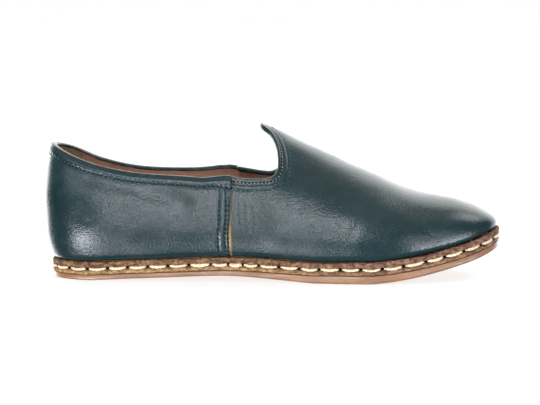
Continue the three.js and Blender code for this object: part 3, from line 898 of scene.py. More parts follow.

# Creases: side, x and z of both ends, width, depth. A negative depth is a ridge.
CREASES = [
    (-1, 30, 58, 82, 45.5, 6.5, 0.45),
    (-1, 29, 34, 38, 38.6, 1.8, 0.08),
    (-1, 86, 56, 102, 56, 12.0, -0.4),
    (-1, 13, 17, 17, 11.5, 1.2, 0.2),
    (-1, 17.5, 17.5, 21.5, 12, 1.4, 0.14),
    (-1, 112.6, 48, 114.0, 30, 1.3, 0.05),
    (-1, 116.0, 45, 117.0, 28, 1.5, 0.05),
    (-1, 120.0, 43, 121.0, 27, 1.8, 0.05),
    (-1, 184, 40, 176, 26, 3.4, 0.12),
    (-1, 215, 31.8, 218, 28.6, 0.8, 0.13),
    (-1, 219.4, 29.8, 222, 26.4, 0.8, 0.12),
    (-1, 223.4, 27.4, 226, 24, 0.9, 0.1),
    (1, 52, 56, 92, 47, 3.4, 0.3),
    (1, 12, 16, 17, 11, 1.3, 0.16),
    (1, 114, 46, 115.5, 32, 0.9, 0.09),
    (1, 118, 50, 124, 44, 1.8, 0.12),
    (1, 186, 42, 178, 28, 3.4, 0.12),
]


def creases(points, v):
    """Each crease presses in by its depth times 1 less the squared distance from its line in widths,
    times a bell of that distance, which leaves a soft ridge on either side of a soft trough.
    All fade out towards the welt."""
    x, y, z = points[..., 0], points[..., 1], points[..., 2]
    pressed = np.zeros(x.shape)
    for side, x0, z0, x1, z1, width, depth in CREASES:
        run = np.array([x1 - x0, z1 - z0], float)
        way = np.clip(((x - x0) * run[0] + (z - z0) * run[1]) / (run @ run), 0, 1)
        away = np.hypot(x - x0 - way * run[0], z - z0 - way * run[1]) / width
        on_side = smoothstep(side * y, 4, 12)
        pressed += on_side * depth * (1 - away**2) * np.exp(-(away**2))
    return pressed * smoothstep(v, *CREASE_FADE)


# The leather pieces

VAMP_SHARE = 0.52  # the part of the wall's thickness that is vamp leather
VAMP_OVERLAP = 0.06  # how far round the shoe the vamp runs on under each quarter
QUARTER_PRESS = 0.5  # how far the quarter presses it in there
PRESS_REACH = 0.008  # how far round the shoe it takes to get to that
VAMP_NEAR = 0.2  # how far round the shoe its columns are closer together from each seam
VAMP_BODY_ROWS = 58
HEM_ROWS = 26
HEM_REACH = 9.5  # from the throat's edge, where the vamp's rows are closer together
FACING_RISE = 0.25  # how far the folded facing lifts the vamp between its stitches
LINING_SHARE = 0.61  # where the lining starts
LINING_LAP = 0.25  # how far the quarters' lining stands in over the vamp's
LAP_STEP = 0.004  # how far round the shoe the lap takes on either side of a seam
TIP_STAND = 0.9  # how far the lining stands out under the tongue's tip
SUEDE = 0.3
HEEL_GRIP_END = 0.213  # place where the heel's suede patch ends, on either side
BEVEL = 1.25  # how far the quarter's pared front edge slopes down to the vamp, before it is scaled
BEVEL_COLUMNS = 6
RAW_THIN = 0.4  # width of the quarter's raw front edge at its ends
RAW_SWELL = 0.95  # how much wider it is where it is fullest
RAW_AT = 0.36  # share of the way up to there
BEVEL_FADE = 4  # from the front edge, where distances are no longer scaled
EDGE_LEFT = 0.12  # what is left of the pared edge
SEAM_RIDGE = (5.4, 1.1, 0.08)  # place, width and height of the swell between two seam rows
BAND_GROOVE = (1.3, 0.22)  # width and depth of the quarter's draw under the band's lower edge
BAND_PITCH = 2.57
BAND_LAP = 0.35  # how far the band's lower edge laps over the quarter
BAND_LIFT = 0.08  # how far that edge lies over the quarter
BAND_PULL = 0.12  # how far each stitch draws the band in
BAND_END = 8.0  # length of the doubled leather at each end
END_LIFT = 0.2  # how far the doubling lifts it
END_RISE = 0.3  # how much higher it makes the fold
END_FLATTER = 0.35
BINDING_EDGE = 0.1  # what the binding's lower edge stands out
BAND_FOLD_GAP = 0.25  # clearance between the collar edge and the band folded over it
BINDING_FOLD_GAP = 0.2
# Unevenness of leather and handwork: height, length of its waves, seed
VAMP_UNEVEN = (0.1, 26, 5)
QUARTER_UNEVEN = (0.12, 24, 8)
LINING_UNEVEN = (0.1, 17, 11)
GRIP_NAP = ((0.1, 2.2, 23), (0.06, 1.1, 24))
WELT_WAVER = (0.22, 38, 31)
WELT_FIBRE = ((0.16, 2.6, 32), (0.1, 1.3, 33))
MIDSOLE_FIBRE = ((0.12, 2.4, 41), (0.08, 1.2, 42))
INSOLE_UNEVEN = (0.1, 30, 51)
THREAD_UNEVEN = (0.14, 23, 61)


def lower_heights(count):
    """Heights v of the wall's lower rows, closer together where it rolls under above the welt."""
    return -1 + np.linspace(0, 1, count) ** 1.7


def vamp_piece():
    """The vamp, from under one quarter round the toe to under the other. Its rows are evenly spaced
    but for a closer stretch below the throat, where a folded facing raises it between its stitches."""
    near = np.linspace(0, 1, 40) ** 1.3 * VAMP_NEAR
    toe_ends = (1 + VAMP_NEAR, 3 - VAMP_NEAR)
    round_toe = equal_places(lambda u: along_line(FOOT_LINE, u), *toe_ends, 330)[1:-1]
    under = np.array([VAMP_OVERLAP, VAMP_OVERLAP / 3])
    us = np.concatenate([1 - under, 1 + near, round_toe, 3 - near[::-1], 3 + under[::-1]])
    lower = lower_heights(22)
    hem_from = below_edge(us, HEM_REACH)
    power = 1.1 + 0.6 * np.clip(1 - np.abs(us - 2) / 0.8, 0, 1)
    body_way = np.arange(1, VAMP_BODY_ROWS + 1) / VAMP_BODY_ROWS
    hem_way = np.arange(1, HEM_ROWS + 1) / HEM_ROWS
    body = body_way[None, :] ** power[:, None] * hem_from[:, None]
    hem = hem_from[:, None] + (1 - hem_from)[:, None] * hem_way[None, :]
    v = np.concatenate([np.broadcast_to(lower, (len(us), len(lower))), body, hem], axis=1)
    u = np.broadcast_to(us[:, None], v.shape)
    wall = Wall(u, v)
    face = wall.at(0.0)
    distance = (1 - v) * rib_length(u)
    past_seams = smoothstep(1 - u, 0, PRESS_REACH) + smoothstep(u - 3, 0, PRESS_REACH)
    under_quarter = QUARTER_PRESS * past_seams
    pressed = creases(face, v)
    for row in (THROAT_BEIGE_ROW, *THROAT_TEAL_ROWS):
        pressed = pressed + GROOVE_DEPTH * bell(distance, row, GROOVE_WIDTH)
    last_row = THROAT_TEAL_ROWS[1]
    facing = smoothstep(distance, 1.5, 2.5) * (1 - smoothstep(distance, last_row - 0.4, last_row + 0.6))
    pressed = pressed - FACING_RISE * facing
    pressed = pressed + uneven(face, VAMP_UNEVEN) * smoothstep(distance, 4, 20)
    outer = wall.at(under_quarter + pressed)
    inner = wall.at(VAMP_SHARE * inner_depth(distance) + 0.3 * under_quarter)
    skin_piece("vamp", outer, inner, [GREEN], ["upper"])


def lining_piece():
    """The lining, all round the inside. Behind the seams it is the quarters' lining, which laps over
    the vamp's and so lies further in. Under the tongue's tip it stands out below the binding."""
    seams = [1 - LAP_STEP, 1 + LAP_STEP, 3 - LAP_STEP, 3 + LAP_STEP]
    us = np.sort(np.concatenate([np.linspace(0, 4, 300, endpoint=False), seams]))
    lower = np.linspace(-1, 0, 12)
    heights = np.concatenate([lower, 1 - (1 - np.linspace(0, 0.998, 46)[1:]) ** 1.3])
    u, v = np.meshgrid(us, heights, indexing="ij")
    wall = Wall(u, v)
    distance = (1 - v) * rib_length(u)
    depth = inner_depth(distance)
    quarters = smoothstep(np.abs(2 - u), 1 - LAP_STEP, 1 + LAP_STEP)
    from_heel = np.minimum(u, 4 - u)
    lap = LINING_LAP * quarters * smoothstep(from_heel, HEEL_GRIP_END - 0.02, HEEL_GRIP_END + 0.03)
    tip = TIP_STAND * bell(u, 2, 0.1) * smoothstep(distance, 0.8, 2.0)
    soft = uneven(wall.at(WALL), LINING_UNEVEN) * smoothstep(v, -0.6, 0.2) * smoothstep(from_heel, 0.2, 0.3)
    inner = wall.at(depth - 0.1 + lap + tip + soft)
    outer = wall.at(LINING_SHARE * depth)
    marks = {"quarters": quarters}
    skin_piece("lining", outer, inner, [LINING], ["upper"], closed=True, marks=marks)


def heel_grip_piece():
    """The suede patch inside the heel, a thin napped sheet over the lining, with ragged ends."""
    us = np.linspace(-HEEL_GRIP_END, HEEL_GRIP_END, 110)
    heights = np.linspace(-0.85, 0.99, 70)
    u, v = np.meshgrid(us, heights, indexing="ij")
    lining_face = Wall(u, v).at(WALL)
    depth = inner_depth((1 - v) * rib_length(u))
    nap = uneven(lining_face, *GRIP_NAP)
    ragged = 0.004 * np.sin(v * 31) + 0.003 * np.sin(v * 73)
    wall = Wall(u * (1 + ragged), v)
    inner = wall.at(depth + SUEDE + nap)
    skin_piece("heel_grip", wall.at(depth - 0.2), inner, [SUEDE_FINISH])


def seam_scale(side_place):
    """Millimetres along the wall for one unit of place, near the seam at its foot."""
    ends = along_line(FOOT_LINE, np.array([side_place - 0.01, side_place]))
    return float(np.linalg.norm(np.diff(ends, axis=0)) / 0.01)


QUARTER_SCALE = seam_scale(1.0)


def raw_width(climb):
    """Width of the quarter's raw front edge, fullest a third of the way up: a bell on a thin line."""
    return RAW_THIN + RAW_SWELL * bell(climb, RAW_AT, 0.28)


def band_height(u):
    """Height of the collar band, which flares up to the side seam and widens round the heel."""
    flare = smoothstep(np.abs(u), BAND_FLARE_FROM, 1)
    heel = 1 - smoothstep(np.abs(u), 0, BAND_HEEL_REACH)
    return BAND_HEIGHT + BAND_FLARE * flare + BAND_HEEL * heel


def quarter_piece():
    """The quarter, one piece of leather round the heel from seam to seam. It is drawn down into its
    rows of stitches, swells between them, and is pared thin along its raw front edges. Distances
    from the front edge shrink near it with the width that the raw edge has at each height."""
    near = np.concatenate([np.linspace(0, 0.35, 3), np.linspace(0.45, BEVEL, 4), np.arange(1.6, 12.5, 0.34)])
    ends = 1 - near[::-1] / QUARTER_SCALE
    us = np.concatenate([-ends[::-1], np.linspace(-ends[0], ends[0], 202)[1:-1], ends])
    lower = lower_heights(20)
    top = below_edge(us, band_height(us) + GAP)
    rise = (np.arange(1, 73) / 72)[None, :] ** 1.05 * top[:, None]
    v = np.concatenate([np.broadcast_to(lower, (len(us), len(lower))), rise], axis=1)
    climb = np.clip((v + 1) / 2, 0, 1)
    raw = raw_width(climb)
    plain = np.broadcast_to(((1 - np.abs(us)) * QUARTER_SCALE)[:, None], v.shape)
    beyond = plain - (BEVEL - raw) * (1 - smoothstep(plain, BEVEL, BEVEL_FADE))
    from_front = np.where(plain <= BEVEL, plain * raw / BEVEL, beyond)
    u = np.sign(us)[:, None] * (1 - from_front / QUARTER_SCALE)
    wall = Wall(u, v)
    face = wall.at(-QUARTER_PROUD)
    pared = (QUARTER_PROUD - EDGE_LEFT) * (1 - smoothstep(from_front, 0.0, raw * 1.02)) ** 0.8
    pressed = np.zeros(v.shape)
    for at_top, at_foot in SEAM_ROWS:
        row = at_foot + (at_top - at_foot) * climb
        pressed += GROOVE_DEPTH * bell(from_front, row, GROOVE_WIDTH)
    ridge_at, ridge_width, ridge_height = SEAM_RIDGE
    pressed -= ridge_height * bell(from_front, ridge_at, ridge_width)
    draw_width, draw_depth = BAND_GROOVE
    pressed += draw_depth * bell((top[:, None] - v) * rib_length(u), 0, draw_width)
    pressed += creases(face, v)
    pressed += uneven(face, QUARTER_UNEVEN) * smoothstep(from_front, 8, 20)
    outer = wall.at(-QUARTER_PROUD + pared + pressed)
    inner = wall.at(np.full(v.shape, QUARTER_THICK - QUARTER_PROUD))
    column = shell_faces(*v.shape).min(axis=1) // (2 * v.shape[1])
    is_raw = (column < BEVEL_COLUMNS) | (column >= len(us) - 1 - BEVEL_COLUMNS)
    skin_piece(
        "quarter_leather", outer, inner, [GREEN, RAW_EDGE], ["quarter"],
        face_finish=is_raw, marks={"fresh": bell(climb, RAW_AT, 0.24)},
    )


def folded_profile(us, out_below, out_depth, rise, leather, arc_points, leg, leg_rows, press, power):
    """Distances below the collar edge and depths of a strip folded over it, a row for each place. Its
    outer face is given. From there a half ellipse as high as the rise turns it over the edge, and a
    leg lies down the lining, pressed in by a power of the way down."""
    arc = np.linspace(0, math.pi, arc_points)[None, 1:-1]
    front, back = out_depth[:, -1:], inner_depth(0.0) + GAP + leather
    centre, reach = (front + back) / 2, (back - front) / 2
    down = np.linspace(0.15, 1, leg_rows)[None, :]
    below = [out_below, -rise * np.sin(arc), leg * down]
    depth = [out_depth, centre - reach * np.cos(arc), back - press * down**power]
    every = np.zeros((len(us), 1))
    return [np.concatenate([part + every for part in parts], axis=1) for parts in (below, depth)]


def folded_skin(us, below, depth, face_depth, gap):
    """Outer and inner face of a strip folded over the collar edge. The inner face is the outer one
    held between the depth of the leather's face and the lining's, a gap over the edge. Above the edge
    both follow the wall's upward direction there."""
    def lay(distance, depths):
        u = np.broadcast_to(us[:, None], distance.shape)
        wall = Wall(u, below_edge(u, np.maximum(0.0, distance)))
        top = np.ones_like(us)
        rise = normalised(rib_point(us, top) - rib_point(us, below_edge(us, 2.0)))
        return wall.at(depths) + rise[:, None, :] * np.maximum(0.0, -distance)[..., None]

    hidden_depth = np.clip(depth, face_depth, inner_depth(0.0) + GAP)
    return lay(below, depth), lay(np.maximum(below, -gap), hidden_depth)


def line_phase(us, pitch):
    """The stitch phase at places along the collar edge: a full turn for each pitch of length."""
    return 2 * math.pi * distances(along_line(EDGE_LINE, us)) / pitch


def collar_band_piece():
    """The padded collar band. From its stitched lower edge it swells as a quarter round to its
    fullest, then falls back as a smooth step to the edge, folds over it and lies on the lining. At
    both ends its leather is doubled, flatter and a little higher."""
    us = equal_places(lambda u: along_line(EDGE_LINE, u), -1 + BAND_SET_BACK, 1 - BAND_SET_BACK, 460)
    from_end = (1 - np.abs(us))[:, None] * QUARTER_SCALE
    end = 1 - smoothstep(from_end, BAND_END - 1.2, BAND_END + 0.6)
    height = band_height(us)[:, None] + BAND_LAP
    way = np.linspace(0, 1, 24)[None, :]
    out = np.clip((way - 0.1) / 0.48, 0, 1)
    swell = np.sqrt(1 - (1 - out) ** 2) * (1 - (1 - BAND_TOP_PROUD / BAND_PROUD) * smoothstep(way, 0.5, 1.08))
    flatter = 1 - END_FLATTER * end * (1 - way)
    pull = BAND_PULL * np.cos(line_phase(us, BAND_PITCH))[:, None] * bell(way, 0.16, 0.12)
    lifted = END_LIFT * end * smoothstep(way, 0, 0.1)
    out_depth = -QUARTER_PROUD - BAND_LIFT - BAND_PROUD * swell * flatter - lifted + pull
    below, depth = folded_profile(
        us, height * (1 - way), out_depth, BAND_RISE + END_RISE * end, BAND_LEATHER, 16, BAND_INSIDE,
        8, 0.4, 4,
    )
    outer, inner = folded_skin(us, below, depth, QUARTER_THICK - QUARTER_PROUD, BAND_FOLD_GAP)
    rows = below.shape[1]
    sides = 2 * rows * (len(us) - 1)
    is_end = np.arange(sides + 2 * (rows - 1)) >= sides
    skin_piece(
        "collar_band_leather", outer, inner, [GREEN, RAW_EDGE], ["collar_band"],
        face_finish=is_end, marks={"fresh": np.full(below.shape, 0.1)},
    )


def throat_binding_piece():
    """The narrow rolled binding of the throat, from seam to seam: a quarter round that grows from its
    stitched edge, folded over the throat's edge on to the lining."""
    ends = (1 - BINDING_REACH, 3 + BINDING_REACH)
    us = equal_places(lambda u: along_line(EDGE_LINE, u), *ends, 480)
    every = np.zeros((len(us), 1))
    way = np.linspace(0, 1, 10)[None, :]
    quarter_round = np.sin(math.pi / 2 * way**0.6)
    out_depth = -GAP - BINDING_EDGE - (BINDING - BINDING_EDGE) * quarter_round + every
    below, depth = folded_profile(
        us, BINDING_HEIGHT * (1 - way), out_depth, BINDING_RISE, BINDING, 14, BINDING_HEIGHT, 6, 0.3, 3
    )
    outer, inner = folded_skin(us, below, depth, -GAP, BINDING_FOLD_GAP)
    skin_piece("throat_binding_leather", outer, inner, [GREEN], ["throat_binding"])


vamp_piece()
lining_piece()
heel_grip_piece()
quarter_piece()
collar_band_piece()
throat_binding_piece()


# The sole's layers

FOREPART = (120, 175)  # x between which the edges turn from golden to brown
WELT_COLUMNS = 1100
WELT_PITCH = 11.7
HOLE_REACH = 1.0  # distance from a stitch hole over which its notch falls off
# x of the hand-made stitch holes along the medial side, from the heel to the toe
MEDIAL_HOLES = [
    15.5, 26.5, 38.5, 50, 61.5, 73, 85, 97.5, 107.5, 115.5, 124.5, 136, 147.5, 158.5, 170.5, 182, 194,
    206, 218.5, 229, 240, 250, 257.5,
]
DOUBLED_STITCHES = [85, 107.5]  # where a stitch starts that was sewn twice
# The welt's section before its corners are rounded: inset, height
WELT_CORNERS = [
    [WELT_WIDTH, 0.05], [1.3, 0.05], [0.1, 1.0], [0.0, WELT_HEIGHT - 0.7], [0.6, WELT_HEIGHT],
    [WELT_WIDTH, WELT_HEIGHT],
]
WELT_ROUND = 0.5
WELT_NOTCH = (0.55, 0.75)  # how far in and how far up its notch goes at each stitch hole
MIDSOLE_NOTCH = 0.35
# The midsole's edge from its underside up: inset, height
MIDSOLE_PROFILE = [
    [1.2, 0.02], [0.35, 0.03], [0.12, 0.15], [0.05, 0.45], [0.02, 0.9], [0.0, 1.3], [0.04, 1.6],
    [0.16, 1.85], [0.4, 2.1], [0.7, 2.35], [1.05, 2.52], [1.6, MIDSOLE], [4.0, MIDSOLE],
]
# The outsole's edge from its underside up: share of its thickness, inset
OUTSOLE_PROFILE = [
    [0, 4.2], [0, 1.3], [0.03, 0.85], [0.09, 0.55], [0.16, 0.4], [0.23, 0.32], [0.27, 0.16],
    [0.33, 0.12], [0.5, 0.1], [0.7, 0.12], [0.88, 0.2], [0.97, 0.32], [1.0, 0.6], [1.0, 2.0],
]
TOOTH_PITCH = 1.05
TOOTH_COLUMNS = 5
TOOTH_DEPTH = 0.4
INSOLE_ROW = 5.0
INSOLE_TUCK = 0.2  # how far the insole's edge presses into the lining
INSOLE_INSET = WELT_WIDTH + GAP + WALL - INSOLE_TUCK
INSOLE_GROOVE = 0.35
INSOLE_EDGE_DROP = 0.7

WELT_FAR_AT = np.linspace(0, 4, 8001)
WELT_FAR = distances(welt_outline(WELT_FAR_AT))


def rounded_profile(corners, radius, arc_points=4):
    """A closed profile with its corners rounded: each corner becomes a quadratic arc between points
    a radius away along its two sides."""
    corners = np.array(corners, float)
    before, after = np.roll(corners, 1, axis=0), np.roll(corners, -1, axis=0)

    def toward(other):
        gap = other - corners
        length = np.linalg.norm(gap, axis=1, keepdims=True)
        return corners + gap * np.minimum(radius / length, 0.45)

    start, end = toward(before)[:, None], toward(after)[:, None]
    way = np.linspace(0, 1, arc_points)[None, :, None]
    arcs = start * (1 - way) ** 2 + corners[:, None] * 2 * way * (1 - way) + end * way**2
    return arcs.reshape(-1, 2)


def swept_ring(us, insets, heights, base_z):
    """Points of a profile carried round the sole's edge: insets and heights for each place."""
    u = np.broadcast_to(us[:, None], insets.shape)
    points = sole_point(u, insets, base_z)
    points[..., 2] += heights
    return points


def medial_far(xs):
    """Distances along the welt of places on its medial side, given by their x."""
    x = welt_outline(WELT_FAR_AT)[:, 0]
    toe = int(np.argmax(x))
    return np.interp(xs, x[:toe], WELT_FAR[:toe])


def stitch_holes():
    """Distances along the welt of all its holes: the medial side's, and equal steps for the rest."""
    given = medial_far(MEDIAL_HOLES)
    left = WELT_FAR[-1] - given[-1] + given[0]
    count = round(left / WELT_PITCH)
    rest = given[-1] + left * np.arange(1, count) / count
    return np.sort(np.concatenate([given, rest]) % WELT_FAR[-1])


HOLES_FAR = stitch_holes()


def stitch_gap(us):
    """1 at each hole between two welt stitches, falling off as a bell over HOLE_REACH."""
    far = np.interp(us, WELT_FAR_AT, WELT_FAR)
    nearest = np.abs(far[:, None] - HOLES_FAR[None, :]).min(axis=1)
    return bell(nearest, 0, HOLE_REACH)


def sole_layer(name, points, faces, finish, node):
    """A layer of the sole, marked with how far its places are into the forepart."""
    flat = points.reshape(-1, 3)
    marks = {"forepart": smoothstep(flat[:, 0], *FOREPART)}
    make_piece(name, flat, turned_outwards(flat, faces), [finish], [node], marks=marks)


def slab_faces(columns_count, rings):
    """Quads of a slab: its side rings, and a ladder across its lowest and its topmost ring. Columns
    start at the heel and pass the toe halfway round."""
    sides = grid_faces(columns_count, rings, True, False)
    j = np.arange(columns_count // 2)
    a, b = (columns_count - j) % columns_count, columns_count - j - 1
    low = np.stack([j, a, b, j + 1], axis=-1) * rings
    high = np.stack([j, j + 1, b, a], axis=-1) * rings + rings - 1
    return np.concatenate([sides, low, high])


def welt_piece():
    """The welt: a rounded bar carried round the upper's foot, cut by hand, so that its width and
    height waver, rough with fibre, and notched upwards over each stitch hole."""
    us = equal_places(welt_outline, 0, 4, WELT_COLUMNS, ends=False)
    profile = rounded_profile(WELT_CORNERS, WELT_ROUND)
    inset = np.broadcast_to(profile[:, 0], (len(us), len(profile)))
    height = np.broadcast_to(profile[:, 1], inset.shape)
    plain = swept_ring(us, inset, height, welt_foot_z)
    waver = uneven(plain, WELT_WAVER) * smoothstep(height, 1.5, WELT_HEIGHT)
    rough = uneven(plain, *WELT_FIBRE)
    outer = smoothstep(-inset, -1.6, -0.4)
    notch = stitch_gap(us)[:, None] * (1 - smoothstep(height, 0.4, 1.9)) * smoothstep(-inset, -2.4, -0.6)
    notch_in, notch_up = WELT_NOTCH
    inset = inset + outer * rough + notch_in * notch
    height = height + waver + notch_up * notch
    points = swept_ring(us, inset, height, welt_foot_z)
    faces = grid_faces(len(us), len(profile), True, True)
    sole_layer("welt_edge", points, faces, WELT, "welt")


def midsole_piece():
    """The midsole: its open profile carried round, from its underside up its edge to the top, rough
    with fibre and drawn in at each stitch hole."""
    us = equal_places(welt_outline, 0, 4, WELT_COLUMNS, ends=False)
    profile = np.array(MIDSOLE_PROFILE)
    insets = np.broadcast_to(profile[:, 0], (len(us), len(profile)))
    heights = np.broadcast_to(profile[:, 1], insets.shape)
    plain = swept_ring(us, insets, heights, midsole_foot_z)
    outer = smoothstep(-insets, -1.6, -0.3) * smoothstep(heights, 0.02, 0.5)
    rough = uneven(plain, *MIDSOLE_FIBRE)
    notch = stitch_gap(us)[:, None] * smoothstep(heights, 1.3, 2.3)
    insets = insets + outer * rough + MIDSOLE_NOTCH * notch
    points = swept_ring(us, insets, heights, midsole_foot_z)
    faces = slab_faces(len(us), len(profile))
    sole_layer("midsole_edge", points, faces, MIDSOLE_LEATHER, "midsole")


def outsole_piece():
    """The outsole. Its lower edge is knurled: the inset swings as a cosine along the edge, over the
    lowest stretch, and it rolls under to the flat tread."""
    teeth = round(WELT_FAR[-1] / TOOTH_PITCH)
    us = equal_places(welt_outline, 0, 4, teeth * TOOTH_COLUMNS, ends=False)
    share, inset = np.array(OUTSOLE_PROFILE).T
    phase = 2 * math.pi * np.arange(len(us)) / TOOTH_COLUMNS
    band = smoothstep(share, 0.0, 0.03) * (1 - smoothstep(share, 0.22, 0.28))
    insets = inset[None, :] + TOOTH_DEPTH * (0.5 + 0.5 * np.cos(phase))[:, None] * band[None, :]
    thickness = sole_outsole(np.clip(welt_outline(us)[:, 0], *SOLE_ENDS))
    points = swept_ring(us, insets, share[None, :] * thickness[:, None], bottom_z)
    sole_layer("outsole_edge", points, slab_faces(len(us), len(share)), RUBBER, "outsole")


def insole_piece():
    """The insole: a grid across the shoe from one edge to the other, its edge rounded off, with a
    shallow groove where it is stitched."""
    us = np.linspace(0, 2, 240)
    across = (1 - np.cos(np.linspace(0, math.pi, 64))) / 2
    medial = sole_point(us, np.full_like(us, INSOLE_INSET), midsole_top_z)
    lateral = sole_point(4 - us, np.full_like(us, INSOLE_INSET), midsole_top_z)
    top = medial[:, None] + (lateral - medial)[:, None] * across[None, :, None]
    under = top.copy()
    base = welt_foot_z(np.clip(top[..., 0], *SOLE_ENDS))
    from_edges = [np.linalg.norm(top - edge[:, None], axis=-1) for edge in (medial, lateral)]
    rim = np.minimum(*from_edges)
    soft = uneven(top, INSOLE_UNEVEN) * smoothstep(rim, 1, 6)
    groove = INSOLE_GROOVE * bell(rim, INSOLE_ROW, 0.7)
    edge_drop = INSOLE_EDGE_DROP * (1 - smoothstep(rim, 0, 0.9))
    top[..., 2] = base + INSOLE - edge_drop - groove + soft
    under[..., 2] = base
    skin_piece("insole_cover", top, under, [INSOLE_LEATHER], ["insole"])


welt_piece()
midsole_piece()
outsole_piece()
insole_piece()


# The stitching

SEAM_PITCH = 2.55
THROAT_PITCH = 2.1
INSOLE_PITCH = 4.4
ROW_PLACES = 900
# Share of the step that a stitch covers, its radius, its height over the leather
SEAM_STITCH = (0.42, 0.3, 0.2)
BEIGE_STITCH = (0.34, 0.27, 0.16)
THROAT_STITCH = (0.55, 0.27, 0.16)
BAND_STITCH = (0.56, 0.3, 0.3)
INSOLE_STITCH = (0.72, 0.42, 0.25)
# A hole's dome of painted shade: its radius, its stretch along the row, how far it stands proud
SEAM_HOLE = (0.62, 1.2, 0.12)
BEIGE_HOLE = (0.62, 1.25, 0.1)
THROAT_HOLE = (0.4, 1.2, 0.08)
BAND_HOLE = (0.55, 1.6, 0.3)
WELT_HOLE = (0.62, 1.5, 0.42)
WELT_HOLE_INSET = 0.9
WELT_HOLE_RISE = 0.75  # over the middle of the gap between the welt and the midsole
WELT_SAG = 0.55
THREAD_INSET = 1.3  # where a stitch's ends are, in the holes
WELT_DIP = 1.15  # how far it comes out from there
WELT_THREAD = 0.88
DOUBLED_THREAD = 1.15
WELT_STEPS = 32


def equal_steps(points, values, pitch):
    """Values at equal steps, about a pitch long, along a line of points that each have a value."""
    far = distances(points)
    return np.interp(np.linspace(0, far[-1], round(far[-1] / pitch) + 1), far, values)


def row_of_holes(us, heights, depth):
    """Points of a row of stitch holes on the wall, outward directions and the row's own direction."""
    wall = Wall(us, heights)
    points = wall.at(depth)
    return points, wall.facing(), normalised(np.gradient(points, axis=0))


def edge_row(start, end, height_of, depth, pitch):
    """A row of holes at equal steps between two places, at the heights that height_of gives."""
    fine = np.linspace(start, end, ROW_PLACES)
    us = equal_steps(Wall(fine, height_of(fine)).at(depth), fine, pitch)
    return row_of_holes(us, height_of(us), depth)


def seam_stitching():
    """Three rows behind each quarter's front edge, from the band down to the welt."""
    threads, holes = [], []
    climb = np.linspace(0.06, 1, 200)
    top = below_edge(np.array([1.0]), BAND_HEIGHT + BAND_FLARE)[0]
    heights = -1 + climb * (1 + top)
    depth = -QUARTER_PROUD + GROOVE_DEPTH
    for side in (-1, 1):
        for at_top, at_foot in SEAM_ROWS:
            row = at_foot + (at_top - at_foot) * climb
            us = side * (1 - row / QUARTER_SCALE)
            place = equal_steps(Wall(us, heights).at(depth), climb, SEAM_PITCH)
            points, normals, runs = row_of_holes(
                np.interp(place, climb, us), np.interp(place, climb, heights), depth
            )
            threads.append(row_stitches(points, normals, *SEAM_STITCH))
            holes.append(hole_shade_dots(points, normals, runs, *SEAM_HOLE))
    thread_piece("seam_stitches", TEAL_THREAD, *threads)
    # Dark domes of painted shade in the seam's stitch holes
    thread_piece("seam_hole_shade", HOLE_SHADE_FINISH, *holes)


def throat_stitching():
    """Beside the binding a row of short beige stitches, then two rows of teal ones."""
    def row(distance, depth_share, pitch):
        return edge_row(
            1.01, 2.99, lambda u: square_below_edge(u, distance), GROOVE_DEPTH * depth_share, pitch
        )

    points, normals, runs = row(THROAT_BEIGE_ROW, 0.3, THROAT_PITCH)
    thread_piece("throat_beige_stitches", BEIGE_THREAD, row_stitches(points, normals, *BEIGE_STITCH))
    holes = [hole_shade_dots(points, normals, runs, *BEIGE_HOLE)]
    threads = []
    for distance in THROAT_TEAL_ROWS:
        points, normals, runs = row(distance, 0.4, SEAM_PITCH)
        threads.append(row_stitches(points, normals, *THROAT_STITCH))
        holes.append(hole_shade_dots(points, normals, runs, *THROAT_HOLE))
    thread_piece("throat_teal_stitches", TEAL_THREAD, *threads)
    # Dark domes of painted shade in the throat's stitch holes
    thread_piece("throat_hole_shade", HOLE_SHADE_FINISH, *holes)


def band_stitching():
    """The row along the collar band's lower edge."""
    points, normals, runs = edge_row(
        -0.995, 0.995, lambda u: below_edge(u, band_height(u) - 0.15), -QUARTER_PROUD, BAND_PITCH
    )
    thread_piece("band_stitches", TEAL_THREAD, row_stitches(points, normals, *BAND_STITCH))
    # Dark domes of painted shade in the band's stitch holes
    thread_piece("band_hole_shade", HOLE_SHADE_FINISH, hole_shade_dots(points, normals, runs, *BAND_HOLE))


def welt_stitching():
    """Heavy waxed thread in the groove over the midsole, one stitch between each pair of holes: it
    comes out of one hole, sags a little as it runs along the groove, and dives into the next."""
    start = HOLES_FAR
    end = np.append(HOLES_FAR[1:], HOLES_FAR[0] + WELT_FAR[-1])
    way = np.linspace(0.09, 0.91, WELT_STEPS)
    far = start[:, None] + (end - start)[:, None] * way[None, :]
    us = np.interp(far % WELT_FAR[-1], WELT_FAR, WELT_FAR_AT)
    across = np.linspace(-1, 1, WELT_STEPS)
    out = 1 - np.abs(across) ** 5
    sag = np.cos(across * math.pi / 2)
    inset = np.broadcast_to(THREAD_INSET - WELT_DIP * out, far.shape)
    centres = sole_point(us, inset, midsole_top_z)
    waver = uneven(centres, THREAD_UNEVEN)
    centres[..., 2] += GAP / 2 + WELT_HOLE_RISE - WELT_SAG * sag[None, :] + waver
    doubled = np.isin(np.round(start, 3), np.round(medial_far(DOUBLED_STITCHES), 3))
    size = np.where(doubled, DOUBLED_THREAD, WELT_THREAD) * (1 + 0.08 * np.cos(5 * np.arange(len(start))))
    radii = size[:, None] * (0.55 + 0.45 * out)[None, :]
    stitches = stitch_tubes(centres, outward(us), radii, 14, 0.85, 2, 4.5)
    thread_piece("welt_stitches", CREAM_THREAD, stitches)

    def hole_line(u):
        return sole_point(u, np.full_like(u, WELT_HOLE_INSET), midsole_top_z)

    hole_us = np.interp(HOLES_FAR, WELT_FAR, WELT_FAR_AT)
    points = hole_line(hole_us)
    points[..., 2] += GAP / 2 + WELT_HOLE_RISE
    runs = normalised(hole_line(hole_us + 0.004) - hole_line(hole_us - 0.004))
    # Dark domes of painted shade in the welt's notches over its holes
    thread_piece("welt_hole_shade", HOLE_SHADE_FINISH, hole_shade_dots(points, outward(hole_us), runs, *WELT_HOLE, 12))


